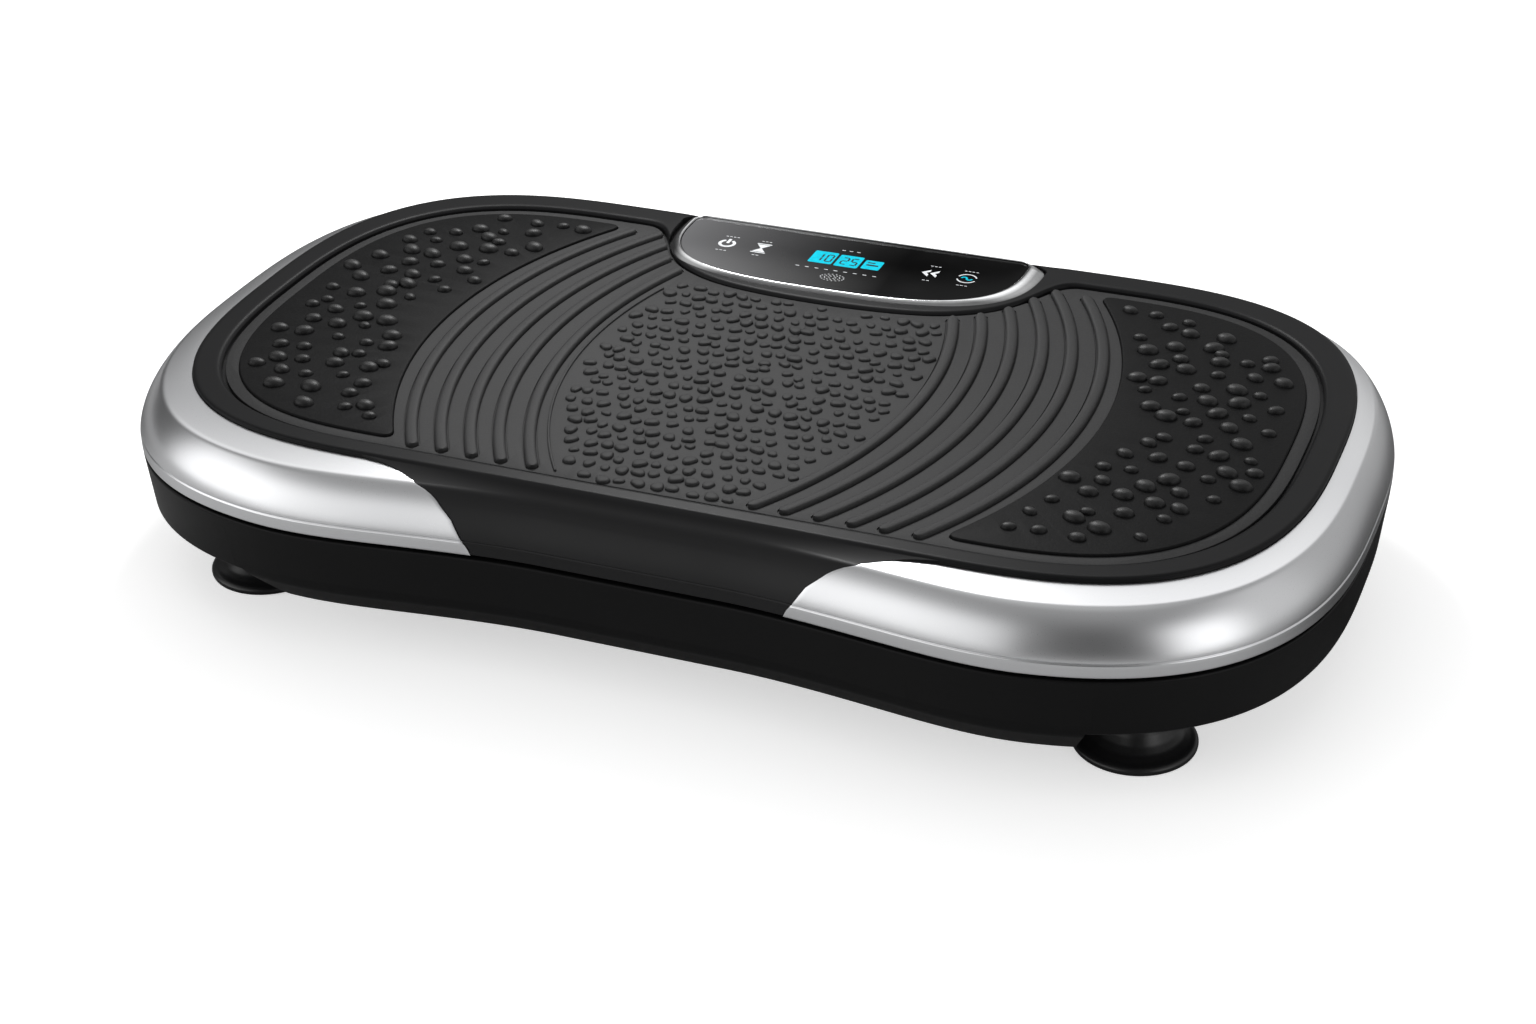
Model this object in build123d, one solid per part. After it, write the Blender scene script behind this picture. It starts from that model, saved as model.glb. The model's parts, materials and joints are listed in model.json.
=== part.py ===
from build123d import *
import math
import os

# Pivotal (see-saw) vibration plate: a rocking platform with mat and control panel on a base
# with motor, belt and eccentric crank, standing on four suction feet.
# Frame: origin on the floor under the middle of the plate, +X along the long side to the
# right, +Y to the back (the control panel side), +Z up.  All sizes in millimetres.

os.makedirs("parts", exist_ok=True)

# ------------------------------------------------------------------ driving dimensions
HALF_LEN, HALF_WID = 363.0, 207.0           # outline at the parting gap
GAP_CORNER_LEN = 213.0                      # length of its rounded corners along X
RIM_HALF_LEN, RIM_HALF_WID = 337.0, 183.5   # outer edge of the raised rim
RIM_CORNER_LEN = 172.0
RIM_CY = 14.5                   # the rim sits this far towards the back
CORNER_POWER = 2.8              # superellipse exponent of the rounded corners
WAIST = 15.0                    # front waist of the outline
OUTLINE_POINTS = 36             # points on each outline spline
MAT_TOP = 114.0                 # standing surface
MAT_FLOOR = 111.5               # floor of the recess that holds the mat
DECK_T = 3.0                    # top plate thickness of the deck moulding
DECK_UNDER = MAT_FLOOR - DECK_T
WALL_T = 3.0                    # base wall thickness
COVER_T = 2.4                   # silver cover thickness
COVER_GAP = 0.3                 # joint between the deck and the cover ends and top
RIM_TOP = 116.2                 # top of the rim bead
GAP_HIGH, GAP_LOW = 79.4, 77.0  # lower edge of the platform, upper edge of the base
WALL_LOW = 42.0                 # lower edge of the base side wall
BELLY = 27.5                    # underside of the deep middle part of the base
BELLY_LEFT, BELLY_RIGHT = -212.0, 247.0
RAMP_LEFT, RAMP_RIGHT = 20.0, 7.0           # run of its end ramps
HOLLOW_RIGHT = 237.0            # right end of the space inside it
FOOT_X, FOOT_Y, FOOT_R = 265.0, 127.0, 34.0
RAIL_Y = 131.0                  # middle of the steel rails over the feet
FRAME_BOTTOM, FRAME_TOP = 46.0, 64.0        # base frame
TUBE_T = 2.0                    # wall of the steel tubes
CROSS_X = 225.0                 # outer cross members, with the bump stops on them
CHANNEL_BOTTOM, CHANNEL_TOP = 34.0, 37.0    # floor of the drive channel
PLATFORM_TOP = 108.4            # top of the platform frame
PIVOT_Z, PIVOT_R = 82.0, 8.0    # rocking axis
PIVOT_BEARING_Y = 69.0
BLOCK_BASE_Z, BLOCK_FLANGE_Z = 64.2, 72.0   # pivot bearing blocks
CRANK_X, CRANK_Z, CRANK_R = 150.0, 67.0, 7.5
CRANK_BEARING_YS = (-51.0, 29.0)
ECC = 0.9                       # throw of the eccentric
ECC_R, ECC_BEARING_R = 11.0, 14.5
BIG_END_CLEAR = 1.9             # room for throw plus rocking
ROD_Y = -10.0                   # middle of the connecting rod
WRIST_Z, WRIST_R = 90.5, 4.0
MOTOR_X, MOTOR_Z, MOTOR_R = 62.0, 69.0, 30.0
MOTOR_SHAFT_R = 4.0
MOTOR_Y0, MOTOR_Y1 = -56.0, 52.0            # ends of the motor housing
BELT_Y = -73.0
SMALL_PULLEY_R, LARGE_PULLEY_R = 10.0, 27.0
RUN = 0.05                      # radial clearance of a running fit
PANEL_HALF_LEN, PANEL_DEPTH, PANEL_Y, PANEL_POWER = 112.0, 66.0, 188.0, 2.9
PANEL_Z0 = 112.3                # underside of the glass and its trim ring
BOARD_Z0, BOARD_Z1 = 105.6, 107.2           # display board
POWER_Z0, POWER_Z1 = 60.0, 61.6             # power board
PLATE_TOP = 48.0                # electronics plate
SOCKET_X, SOCKET_Z = -70.0, 59.0            # middle of the rear socket plate
INLET_X, SWITCH_X = SOCKET_X - 19, SOCKET_X + 22
SOCKET_FACE = 189.9             # rear face of the socket plate

FEET = {f"{row}_{side}": (x, y)
        for side, x in (("left", -FOOT_X), ("right", FOOT_X))
        for row, y in (("front", -FOOT_Y), ("back", FOOT_Y))}
DECK_BOSSES = [(x, y) for x in (-262, 262) for y in (-70, 0, 70)]
COVER_SCREWS = [(x, y) for x in (-157, 0, 157) for y in (-102, 102)]
PIVOT_BOLTS = [(x, y) for y in (-PIVOT_BEARING_Y, PIVOT_BEARING_Y) for x in (-20, 20)]
BOARD_POSTS = [(-174, -74), (-66, -74), (-174, 54), (-66, 54)]


# ------------------------------------------------------------------ outlines (lists of x, y)
def corner(cx, cy, ax, ay, power, steps=160):
    """Quarter superellipse, from (cx, cy + ay) to (cx + ax, cy)."""
    angles = [math.pi / 2 * i / steps for i in range(steps + 1)]
    return [(cx + ax * max(math.sin(a), 0.0) ** (2 / power),
             cy + ay * max(math.cos(a), 0.0) ** (2 / power)) for a in angles]


def waist_share(x):
    s = min(max((abs(x) - 50.0) / 175.0, 0.0), 1.0)
    return 1.0 - s * s * (3 - 2 * s)


def dense_loop(cx, cy, ax, ay, power, waist=0.0):
    """Closed loop, clockwise seen from above, from the middle of the back."""
    quarter = corner(cx, cy, ax, ay, power)
    steps = 40
    right = [(cx * i / steps, cy + ay) for i in range(steps)] + quarter
    right += [(x, 2 * cy - y) for x, y in reversed(quarter)][1:]
    right += [(cx * (1 - i / steps), cy - ay) for i in range(1, steps + 1)]
    loop = right + [(-x, y) for x, y in reversed(right)][1:-1]
    return [(x, y + (waist * waist_share(x) if y < cy else 0.0)) for x, y in loop]


def resample(loop, count=OUTLINE_POINTS):
    """Evenly spaced points along a closed loop."""
    ends = loop[1:] + loop[:1]
    length = [0.0]
    for p, q in zip(loop, ends):
        length.append(length[-1] + math.hypot(q[0] - p[0], q[1] - p[1]))
    points, j = [], 0
    for i in range(count):
        s = length[-1] * i / count
        while length[j + 1] < s:
            j += 1
        p, q = loop[j], ends[j]
        f = (s - length[j]) / max(length[j + 1] - length[j], 1e-9)
        points.append((p[0] + (q[0] - p[0]) * f, p[1] + (q[1] - p[1]) * f))
    return points


def inset(loop, depth):
    """Move a clockwise loop inward, to the right of the direction of travel."""
    points = []
    for i, (x, y) in enumerate(loop):
        before, after = loop[i - 1], loop[(i + 1) % len(loop)]
        tx, ty = after[0] - before[0], after[1] - before[1]
        norm = math.hypot(tx, ty)
        points.append((x + ty / norm * depth, y - tx / norm * depth))
    return points


RIM = resample(dense_loop(RIM_HALF_LEN - RIM_CORNER_LEN, RIM_CY, RIM_CORNER_LEN,
                          RIM_HALF_WID, CORNER_POWER))
GAP = resample(dense_loop(HALF_LEN - GAP_CORNER_LEN, 0, GAP_CORNER_LEN, HALF_WID,
                          CORNER_POWER, WAIST))
MAT_CY = 11
MAT_LOOP = dense_loop(170, MAT_CY, 150, 166, 2.7)
MAT = resample(MAT_LOOP)


# ------------------------------------------------------------------ solid helpers
def wire(points, z):
    return Wire([Edge.make_spline([Vector(x, y, z) for x, y in points], periodic=True)])


def ruled(levels):
    """Ruled loft through (outline, height) levels."""
    return Solid.make_loft([wire(points, z) for points, z in levels], True)


def prism(points, z0, z1):
    return Solid.extrude(Face(wire(points, z0)), Vector(0, 0, z1 - z0))


def polygon(vertices):
    return Face(Wire.make_polygon(vertices, close=True))


def poly_prism(points, z0, z1):
    """Upright prism on a polygon in plan."""
    return Solid.extrude(polygon([Vector(x, y, z0) for x, y in points]), Vector(0, 0, z1 - z0))


def xz_prism(points, y0=-240, y1=240):
    """Prism along Y on a polygon in the front view."""
    return Solid.extrude(polygon([Vector(x, y0, z) for x, z in points]), Vector(0, y1 - y0, 0))


def box(x0, x1, y0, y1, z0, z1):
    return Pos((x0 + x1) / 2, (y0 + y1) / 2, (z0 + z1) / 2) * Box(x1 - x0, y1 - y0, z1 - z0)


def box_y(x, z, half_x, half_z, y0, y1):
    """Box centred on an axis along Y."""
    return box(x - half_x, x + half_x, y0, y1, z - half_z, z + half_z)


def cyl_z(x, y, z0, z1, r):
    return Pos(x, y, (z0 + z1) / 2) * Cylinder(r, z1 - z0)


def cyl_y(x, z, y0, y1, r):
    return Pos(x, (y0 + y1) / 2, z) * Rot(90, 0, 0) * Cylinder(r, y1 - y0)


def ring_y(x, z, y0, y1, outer_r, inner_r):
    return cyl_y(x, z, y0, y1, outer_r) - cyl_y(x, z, y0 - 1, y1 + 1, inner_r)


def spin_z(profile, x, y):
    """Solid of revolution about a vertical axis, profile as (r, z)."""
    face = polygon([Vector(r, 0, z) for r, z in profile])
    return Pos(x, y, 0) * Solid.revolve(face, 360, Axis.Z)


def cable(points, r):
    path = Spline(*[Vector(*p) for p in points])
    return sweep(Plane(origin=path @ 0, z_dir=path % 0) * Circle(r), path=path)


def rail(half_len, y, half_wid, z0, z1):
    """Open-ended square tube along X."""
    inner = half_wid - TUBE_T
    return (box(-half_len, half_len, y - half_wid, y + half_wid, z0, z1)
            - box(-half_len - 1, half_len + 1, y - inner, y + inner, z0 + TUBE_T, z1 - TUBE_T))


def pedestal(x, z, y, half_y, base_z, flange, neck_half, outer_r, bore_r):
    """Bearing block on a flange given as (half length, top height)."""
    y0, y1 = y - half_y, y + half_y
    body = box(x - flange[0], x + flange[0], y0, y1, base_z, flange[1])
    body = body + box(x - neck_half, x + neck_half, y0, y1, base_z, z)
    body = body + cyl_y(x, z, y0, y1, outer_r)
    body = body - cyl_y(x, z, y0 - 1, y1 + 1, bore_r)
    return body - box(x - 40, x + 40, y0 - 1, y1 + 1, base_z - 15, base_z)


def both_sides(near, far, middle=0.0):
    """The two ranges that lie near..far from a middle, lower one first."""
    return (middle - far, middle - near), (middle + near, middle + far)


def bolt_circle(x, z, r, count, start=0):
    """Points (x, z) evenly round an axis along Y, start in degrees."""
    angles = [math.radians(360 / count * k + start) for k in range(count)]
    return [(x + r * math.cos(a), z + r * math.sin(a)) for a in angles]


def group(items):
    return Compound(children=[solid for item in items for solid in item.solids()])


def save(shape, name):
    solids = shape.solids()
    result = solids[0] if len(solids) == 1 else Compound(children=list(solids))
    export_step(result, "parts/" + name + ".step")


def piece(build):
    """Decorator: write what the function builds under the function's own name."""
    save(build(), build.__name__)
    return build


# ------------------------------------------------------------------ platform shells
# platform skirt from the parting gap up to the rim:
# (blend towards the gap outline, height, inset share, drop share)
SKIRT_PROFILE = [
    (1.000, GAP_HIGH, 1.0, 0.0), (0.975, 88.5, 1.0, 0.15), (0.860, 101.0, 0.80, 0.60),
    (0.580, 110.0, 0.40, 0.90), (0.000, 113.0, 0.0, 1.0),
]
# ends of the silver covers in the front view (x, z): a curve that runs in under the rim
COVER_END = [
    (89.5, 76), (91, 80), (92.8, 84), (96.3, 88.5), (98.5, 92), (102.5, 98), (105.5, 100.5),
    (110.4, 104.2), (114, 106.3), (120, 108.2), (128, 109.8), (140, 111.6), (158, 113.4),
]
# right half of the mat's notch round the control panel (x, y)
NOTCH = [
    (0, 102), (25, 102.6), (50, 105), (68, 108), (82, 112), (96, 120), (105, 128), (116, 140),
    (126, 158), (134, 175), (140, 188), (144, 215),
]
CUT_TOP = 131               # cutters end above everything


def skirt(depth, lower=0.0):
    """Solid inside the skirt surface, offset inward; lower drops its bottom level."""
    levels = []
    for t, z, inset_share, drop_share in SKIRT_PROFILE:
        loop = [(a[0] * (1 - t) + b[0] * t, a[1] * (1 - t) + b[1] * t) for a, b in zip(RIM, GAP)]
        levels.append((inset(loop, depth * inset_share), z - depth * drop_share))
    levels[0] = (levels[0][0], levels[0][1] - lower)
    return ruled(levels)


def end_wedge(sign, grow=0.0):
    """Region of one silver cover: right for sign 1, left for -1."""
    points = [(sign * (COVER_END[0][0] - grow), 60)]
    points += [(sign * (x - grow), z) for x, z in COVER_END]
    points += [(sign * COVER_END[-1][0], 130), (sign * 420, 130), (sign * 420, 60)]
    return xz_prism(points, -260, 260)


def notch(z0, grow=0.0):
    right = [Vector(x + grow * (0.3 + 0.7 * min(x / 120.0, 1)), y - grow, z0) for x, y in NOTCH]
    left = [Vector(-v.X, v.Y, z0) for v in right]
    points = list(reversed(left[1:])) + right
    edges = [Edge.make_spline(points), Edge.make_line(points[-1], points[0])]
    return Solid.extrude(Face(Wire(edges)), Vector(0, 0, CUT_TOP - z0))


def panel_prism(grow, back_y, z0, z1=CUT_TOP):
    """Control panel outline: a flattened bowl in front, a straight back edge."""
    quarter = corner(0, PANEL_Y, PANEL_HALF_LEN + grow, -PANEL_DEPTH - grow, PANEL_POWER, 24)
    points = [Vector(-x, y, z0) for x, y in reversed(quarter)][:-1]
    points += [Vector(x, y, z0) for x, y in quarter]
    # every other point keeps the spline smooth near the corners
    bowl = Edge.make_spline(points[::2])
    left, right = points[0], points[-1]
    r = min(7.0, back_y - PANEL_Y)
    k = r * (1 - math.sqrt(0.5))
    right_start, right_end = Vector(right.X, back_y - r, z0), Vector(right.X - r, back_y, z0)
    left_start, left_end = Vector(left.X + r, back_y, z0), Vector(left.X, back_y - r, z0)
    right_mid = Vector(right.X - k, back_y - k, z0)
    left_mid = Vector(left.X + k, back_y - k, z0)
    has_sides = right_start.Y > right.Y + 0.01
    edges = [bowl]
    if has_sides:
        edges.append(Edge.make_line(right, right_start))
    edges += [Edge.make_three_point_arc(right_start, right_mid, right_end),
              Edge.make_line(right_end, left_start),
              Edge.make_three_point_arc(left_start, left_mid, left_end)]
    if has_sides:
        edges.append(Edge.make_line(left_end, left))
    return Solid.extrude(Face(Wire(edges)), Vector(0, 0, z1 - z0))


skirt_outer = skirt(0.0)

# the silver covers stop just under the rim bead
cover_shell = ((skirt_outer - skirt(COVER_T, 1.0) - prism(RIM, 90, 125))
               & box(-400, 400, -240, 240, 60, 112.8))
save(cover_shell & end_wedge(1), "silver_cover_right")
save(cover_shell & end_wedge(-1), "silver_cover_left")


@piece
def deck_shell():
    bead = ruled([(RIM, 113.0), (inset(RIM, 1.5), 115.0), (inset(RIM, 5.0), RIM_TOP)])
    deck = skirt_outer + bead
    # seats of the silver covers
    seat_depth = COVER_T + 0.4
    seat = (box(-400, 400, -240, 240, 60, 112.9) - skirt(seat_depth, 1.0)
            - prism(inset(RIM, COVER_GAP), 90, 125))
    for sign in (1, -1):
        deck = deck - (seat & end_wedge(sign, COVER_GAP))
    deck = deck - skirt(seat_depth + 2.6, 1.0) - prism(inset(RIM, 6.0), 100.0, DECK_UNDER)
    # pocket for the mat, then the lower lip round the panel
    deck = deck - (prism(MAT, MAT_FLOOR, 130) - notch(105))
    deck = deck - notch(114.8)
    # recess for the trim ring and the glass, and the window for the display board
    deck = deck - panel_prism(10.5, 206.0, 112.2)
    deck = deck - panel_prism(-6.0, 191.0, 105)
    # blind screw bosses under the top plate
    for x, y in DECK_BOSSES:
        deck = deck + (cyl_z(x, y, 103.3, MAT_FLOOR - 1.0, 5.0)
                       - cyl_z(x, y, 103.2, DECK_UNDER, 2.1))
    return deck


# ------------------------------------------------------------------ mat and foot pads
PAD_BOTTOM = MAT_TOP - 1.6
PAD_ARC_R, PAD_ARC_X = 290.0, 205.5     # inner edge: radius, and x where it bulges most
RIB_R, RIB_HALF_W = 300.0, 3.5
RIB_CY = 10                             # arcs of pads and ribs are centred on this y
RIB_XS = {1: (100.5, 118.5, 137.5, 156.5, 174.5, 193.5),    # right
          -1: (118.5, 137.5, 155.5, 174.5, 192.5)}          # left


def pad_outline(sign, shrink=0.0):
    """Outer edge follows the mat outline, inner edge is an arc."""
    outer = [p for p in inset(resample(MAT_LOOP, 220), 10.0 + shrink) if p[0] > 150]
    r, cx = PAD_ARC_R + shrink, PAD_ARC_X - PAD_ARC_R
    arc = []
    for i in range(31):
        a = math.radians(-33.5 + 67.0 * i / 30)
        x, y = cx + r * math.cos(a), RIB_CY + r * math.sin(a)
        if abs(y - MAT_CY) < 149.0:
            arc.append((x, y))
    # leave out outer points too close to the ends of the arc
    outer = [p for p in outer if p[0] > arc[0][0] + 6 or p[1] > 0]
    outer = [p for p in outer if p[0] > arc[-1][0] + 6 or p[1] < 22]
    return [(sign * x, y) for x, y in outer + arc]


def mat_rib(sign, rib_x):
    cx = rib_x - RIB_R
    back_y = min(158.0, 86.0 + (rib_x - 100.0) * 0.95)
    front = math.asin(162.0 / RIB_R)
    back = math.asin((back_y - RIB_CY) / RIB_R)
    steps = 14
    angles = [-front + (front + back) * i / steps for i in range(steps + 1)]
    points = []
    for r, order in ((RIB_R - RIB_HALF_W, angles), (RIB_R + RIB_HALF_W, reversed(angles))):
        points += [(sign * (cx + r * math.cos(a)), RIB_CY + r * math.sin(a)) for a in order]
    return poly_prism(points, MAT_TOP - 1.0, MAT_TOP + 1.0)


for sign, side in ((1, "right"), (-1, "left")):
    save(poly_prism(pad_outline(sign), PAD_BOTTOM, MAT_TOP + 1.0), "foot_pad_" + side)


@piece
def deck_mat():
    mat = prism(inset(MAT, 0.7), MAT_FLOOR, MAT_TOP - 0.4) - notch(105, 1.0)
    for sign in (1, -1):
        mat = mat - poly_prism(pad_outline(sign, -0.15), PAD_BOTTOM, 130)
    for sign, rib_xs in RIB_XS.items():
        for rib_x in rib_xs:
            mat = mat + mat_rib(sign, rib_x)
    return mat


# ------------------------------------------------------------------ control panel
@piece
def panel_trim_ring():
    return panel_prism(10.0, 198.4, PANEL_Z0, 116.4) - panel_prism(0.3, 196.9, 105)


@piece
def panel_glass():
    return panel_prism(0.0, 196.6, PANEL_Z0, 115.3)


@piece
def display_board():
    board = panel_prism(-8.0, 189.0, BOARD_Z0, BOARD_Z1)
    for x in (-90, 90):
        board = board - cyl_z(x, 176, 100, 120, 1.7)
    return board


@piece
def display_module():
    return box(-30, 30, 156, 178, BOARD_Z1, 111.2)


@piece
def touch_key_springs():
    tube = [(1.2, BOARD_Z1), (3.2, BOARD_Z1), (3.2, 112.2), (1.2, 112.2)]
    return group([spin_z(tube, x, 167) for x in (-80, -57, 57, 81)])


# ------------------------------------------------------------------ platform frame
@piece
def platform_frame():
    frame = rail(285, -110, 14, 93.4, PLATFORM_TOP) + rail(285, 110, 14, 93.4, PLATFORM_TOP)
    for x0, x1 in both_sides(248, 276):
        frame = frame + box(x0, x1, -97, 97, 100.0, 103.2)
    for x, half in ((0, 24), (CRANK_X, 18)):
        frame = frame + box(x - half, x + half, -97, 97, 103.4, PLATFORM_TOP)
    # lugs for the pivot shaft, then for the wrist pin
    for y0, y1 in both_sides(86, 94):
        frame = frame + (box(-18, 18, y0, y1, 70, 104)
                         - cyl_y(0, PIVOT_Z, y0 - 1, y1 + 1, PIVOT_R + 0.01))
    for y0, y1 in both_sides(10, 16, ROD_Y):
        frame = frame + (box(CRANK_X - 11, CRANK_X + 11, y0, y1, 82, 104)
                         - cyl_y(CRANK_X, WRIST_Z, y0 - 1, y1 + 1, WRIST_R + 0.01))
    for x, y in DECK_BOSSES:
        frame = frame - cyl_z(x, y, 90, 104, 2.6)
    return frame


@piece
def deck_screws():
    return group([cyl_z(x, y, 97.0, 100.0, 4.5) + cyl_z(x, y, 99.5, 108.2, 2.05)
                  for x, y in DECK_BOSSES])


# ------------------------------------------------------------------ pivot
@piece
def pivot_shaft():
    shaft = cyl_y(0, PIVOT_Z, -102, 102, PIVOT_R)
    for y0, y1 in both_sides(95.2, 96.6):
        shaft = shaft - ring_y(0, PIVOT_Z, y0, y1, PIVOT_R + 1, PIVOT_R - 0.8)
    for end in (0, -1):
        shaft = chamfer(shaft.faces().filter_by(Axis.Y).sort_by(Axis.Y)[end].edges(), 1.0)
    return shaft


@piece
def pivot_circlips():
    return group([ring_y(0, PIVOT_Z, y0, y1, PIVOT_R + 3.0, PIVOT_R - 0.75)
                  - box(-3, 3, y0 - 1, y1 + 1, PIVOT_Z - 12, PIVOT_Z)
                  for y0, y1 in both_sides(95.3, 96.5)])


@piece
def pivot_bearing_blocks():
    blocks = []
    for y in (-PIVOT_BEARING_Y, PIVOT_BEARING_Y):
        block = pedestal(0, PIVOT_Z, y, 9, BLOCK_BASE_Z, (23, BLOCK_FLANGE_Z), 17, 19.0, 16.0)
        blocks.append(block - cyl_z(-20, y, 60, 73, 1.6) - cyl_z(20, y, 60, 73, 1.6))
    return group(blocks)


@piece
def pivot_bearings():
    return group([ring_y(0, PIVOT_Z, y - 5, y + 5, 15.98, PIVOT_R + RUN)
                  - ring_y(0, PIVOT_Z, y - 6, y - 4.2, 13.6, 10.6)
                  - ring_y(0, PIVOT_Z, y + 4.2, y + 6, 13.6, 10.6)
                  for y in (-PIVOT_BEARING_Y, PIVOT_BEARING_Y)])


@piece
def pivot_block_bolts():
    head = BLOCK_FLANGE_Z
    return group([cyl_z(x, y, head, head + 2, 2.2) + cyl_z(x, y, 62.0, head + 0.5, 1.5)
                  for x, y in PIVOT_BOLTS])


# ------------------------------------------------------------------ base
WALL_FOOT = 3.5             # inset of the side wall at its lower edge
BELLY_FOOT = 14.5           # inset of the belly wall at the underside


@piece
def base_tray():
    wall_in = inset(GAP, WALL_FOOT + WALL_T)
    walls = ruled([(inset(GAP, WALL_FOOT), WALL_LOW), (inset(GAP, 0.3), GAP_LOW - 1.6),
                   (inset(GAP, 1.8), GAP_LOW)])
    walls_hollow = ruled([(wall_in, WALL_LOW + WALL_T), (inset(GAP, 4.2), GAP_LOW - 4.0)])
    # the upstand closes the view through the parting gap; the ledge below it is open inside
    neck_out, neck_in = inset(GAP, 7.2), inset(GAP, 9.6)
    tray = walls - walls_hollow - prism(neck_in, GAP_LOW - 5.0, GAP_LOW + 5.0)
    tray = tray + (prism(neck_out, GAP_LOW, 85.0) - prism(neck_in, GAP_LOW - 1.0, 86.0))
    # deep middle part
    ramp_end = BELLY_LEFT - RAMP_LEFT
    belly = ruled([(inset(GAP, BELLY_FOOT), BELLY), (inset(GAP, WALL_FOOT), WALL_LOW)])
    belly_hollow = ruled([(inset(GAP, BELLY_FOOT + WALL_T), BELLY + WALL_T),
                          (wall_in, WALL_LOW)])
    ends = xz_prism([(BELLY_LEFT, BELLY), (BELLY_RIGHT, BELLY),
                     (BELLY_RIGHT + RAMP_RIGHT, WALL_LOW), (ramp_end, WALL_LOW)])
    ends_hollow = xz_prism([(BELLY_LEFT + WALL_T, BELLY), (HOLLOW_RIGHT - 3, BELLY),
                            (HOLLOW_RIGHT, WALL_LOW), (ramp_end + WALL_T, WALL_LOW)])
    floor_hole = (prism(wall_in, WALL_LOW - 1, WALL_LOW + 4)
                  & box(ramp_end + WALL_T, HOLLOW_RIGHT, -240, 240, 40, 46))
    tray = (tray - floor_hole) + ((belly & ends) - (belly_hollow & ends_hollow))
    for x, y in FEET.values():
        tray = tray - cyl_z(x, y, 38, 50, 4.3) - cyl_z(x, y, 20, WALL_LOW, 21.0)
    # service opening in the underside, with the cover screw bosses
    tray = tray - box(-150, 150, -95, 95, 20, 36)
    for x, y in COVER_SCREWS:
        tray = (tray + cyl_z(x, y, BELLY + 2.0, BELLY + 6, 4.0)
                - cyl_z(x, y, BELLY - 1, BELLY + 7, 1.6))
    # opening in the back wall for the socket plate
    return tray - box_y(SOCKET_X, SOCKET_Z, 44, 12, 190, 230)


@piece
def bottom_cover():
    cover = box(-164, 164, -109, 109, BELLY - 2.0, BELLY)
    for x, y in COVER_SCREWS:
        cover = cover - cyl_z(x, y, 20, 40, 2.0)
    for i in range(-6, 7):
        cover = cover - box(i * 16 - 2.5, i * 16 + 2.5, -60, 60, 20, 40)
    return cover


@piece
def bottom_cover_screws():
    return group([cyl_z(x, y, BELLY - 4.0, BELLY - 2.0, 3.6)
                  + cyl_z(x, y, BELLY - 3.0, BELLY + 5.6, 1.55) for x, y in COVER_SCREWS])


@piece
def base_frame():
    """Two rails over the feet, cross members and a deep drive channel."""
    bottom, top = FRAME_BOTTOM, FRAME_TOP
    frame = rail(292, -RAIL_Y, 15, bottom, top) + rail(292, RAIL_Y, 15, bottom, top)
    for x in (-CROSS_X, CROSS_X):
        frame = frame + (box(x - 15, x + 15, -118, 118, bottom, top)
                         - box(x - 13, x + 13, -117, 117, bottom + TUBE_T, top - TUBE_T))
    frame = frame + (box(-24, 24, -118, 118, bottom, top)
                     - box(-22, 22, -119, 119, bottom - 1, top - TUBE_T))
    channel = box(29, 205, -119, 119, CHANNEL_BOTTOM, CHANNEL_TOP)
    for y0, y1 in both_sides(116, 119):
        channel = channel + box(29, 205, y0, y1, CHANNEL_BOTTOM, top)
    frame = frame + channel
    for x, y in FEET.values():
        frame = frame - cyl_z(x, y, bottom - 2, top + 2, 4.3)
    for x, y in PIVOT_BOLTS:
        frame = frame - cyl_z(x, y, top - 4, top + 2, 1.6)
    return frame


# ------------------------------------------------------------------ crank drive
@piece
def crank_bearing_blocks():
    """Pedestals on the drive channel."""
    return group([pedestal(CRANK_X, CRANK_Z, y, 7, CHANNEL_TOP, (26, 44.0), 15, 18.0, 14.0)
                  for y in CRANK_BEARING_YS])


@piece
def crank_bearings():
    return group([ring_y(CRANK_X, CRANK_Z, y - 4.5, y + 4.5, 13.98, CRANK_R + RUN)
                  for y in CRANK_BEARING_YS])


@piece
def crank_shaft():
    shaft = cyl_y(CRANK_X, CRANK_Z, -84, 40, CRANK_R)
    shaft = shaft + cyl_y(CRANK_X, CRANK_Z + ECC, ROD_Y - 9, ROD_Y + 9, ECC_R)
    for y0, y1 in reversed(both_sides(12, 15, ROD_Y)):
        shaft = shaft + cyl_y(CRANK_X, CRANK_Z, y0, y1, 9.5)
    return shaft


@piece
def eccentric_bearing():
    return ring_y(CRANK_X, CRANK_Z + ECC, ROD_Y - 7, ROD_Y + 7, ECC_BEARING_R, ECC_R)


@piece
def connecting_rod():
    y0, y1 = ROD_Y - 6, ROD_Y + 6
    bore_r = ECC_BEARING_R + BIG_END_CLEAR
    rod = cyl_y(CRANK_X, CRANK_Z, y0, y1, bore_r + 4.6) + cyl_y(CRANK_X, WRIST_Z, y0, y1, 8.0)
    rod = rod + box(CRANK_X - 8, CRANK_X + 8, y0, y1, 82, WRIST_Z)
    return (rod - cyl_y(CRANK_X, CRANK_Z, y0 - 1, y1 + 1, bore_r)
            - cyl_y(CRANK_X, WRIST_Z, y0 - 1, y1 + 1, WRIST_R + RUN))


@piece
def wrist_pin():
    return cyl_y(CRANK_X, WRIST_Z, ROD_Y - 18.5, ROD_Y + 18.5, WRIST_R)


def pulley(x, z, r, bore_r):
    """Belt pulley with two flanges and a hub at the back."""
    y0, y1, flange = BELT_Y - 7, BELT_Y + 7, 1.4
    body = cyl_y(x, z, y0 + flange, y1 - flange, r)
    body = body + cyl_y(x, z, y0, y0 + flange, r + 2.2) + cyl_y(x, z, y1 - flange, y1, r + 2.2)
    body = body + cyl_y(x, z, y1, y1 + 4, bore_r + 4.0)
    return body - cyl_y(x, z, y0 - 1, y1 + 6, bore_r)


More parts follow.
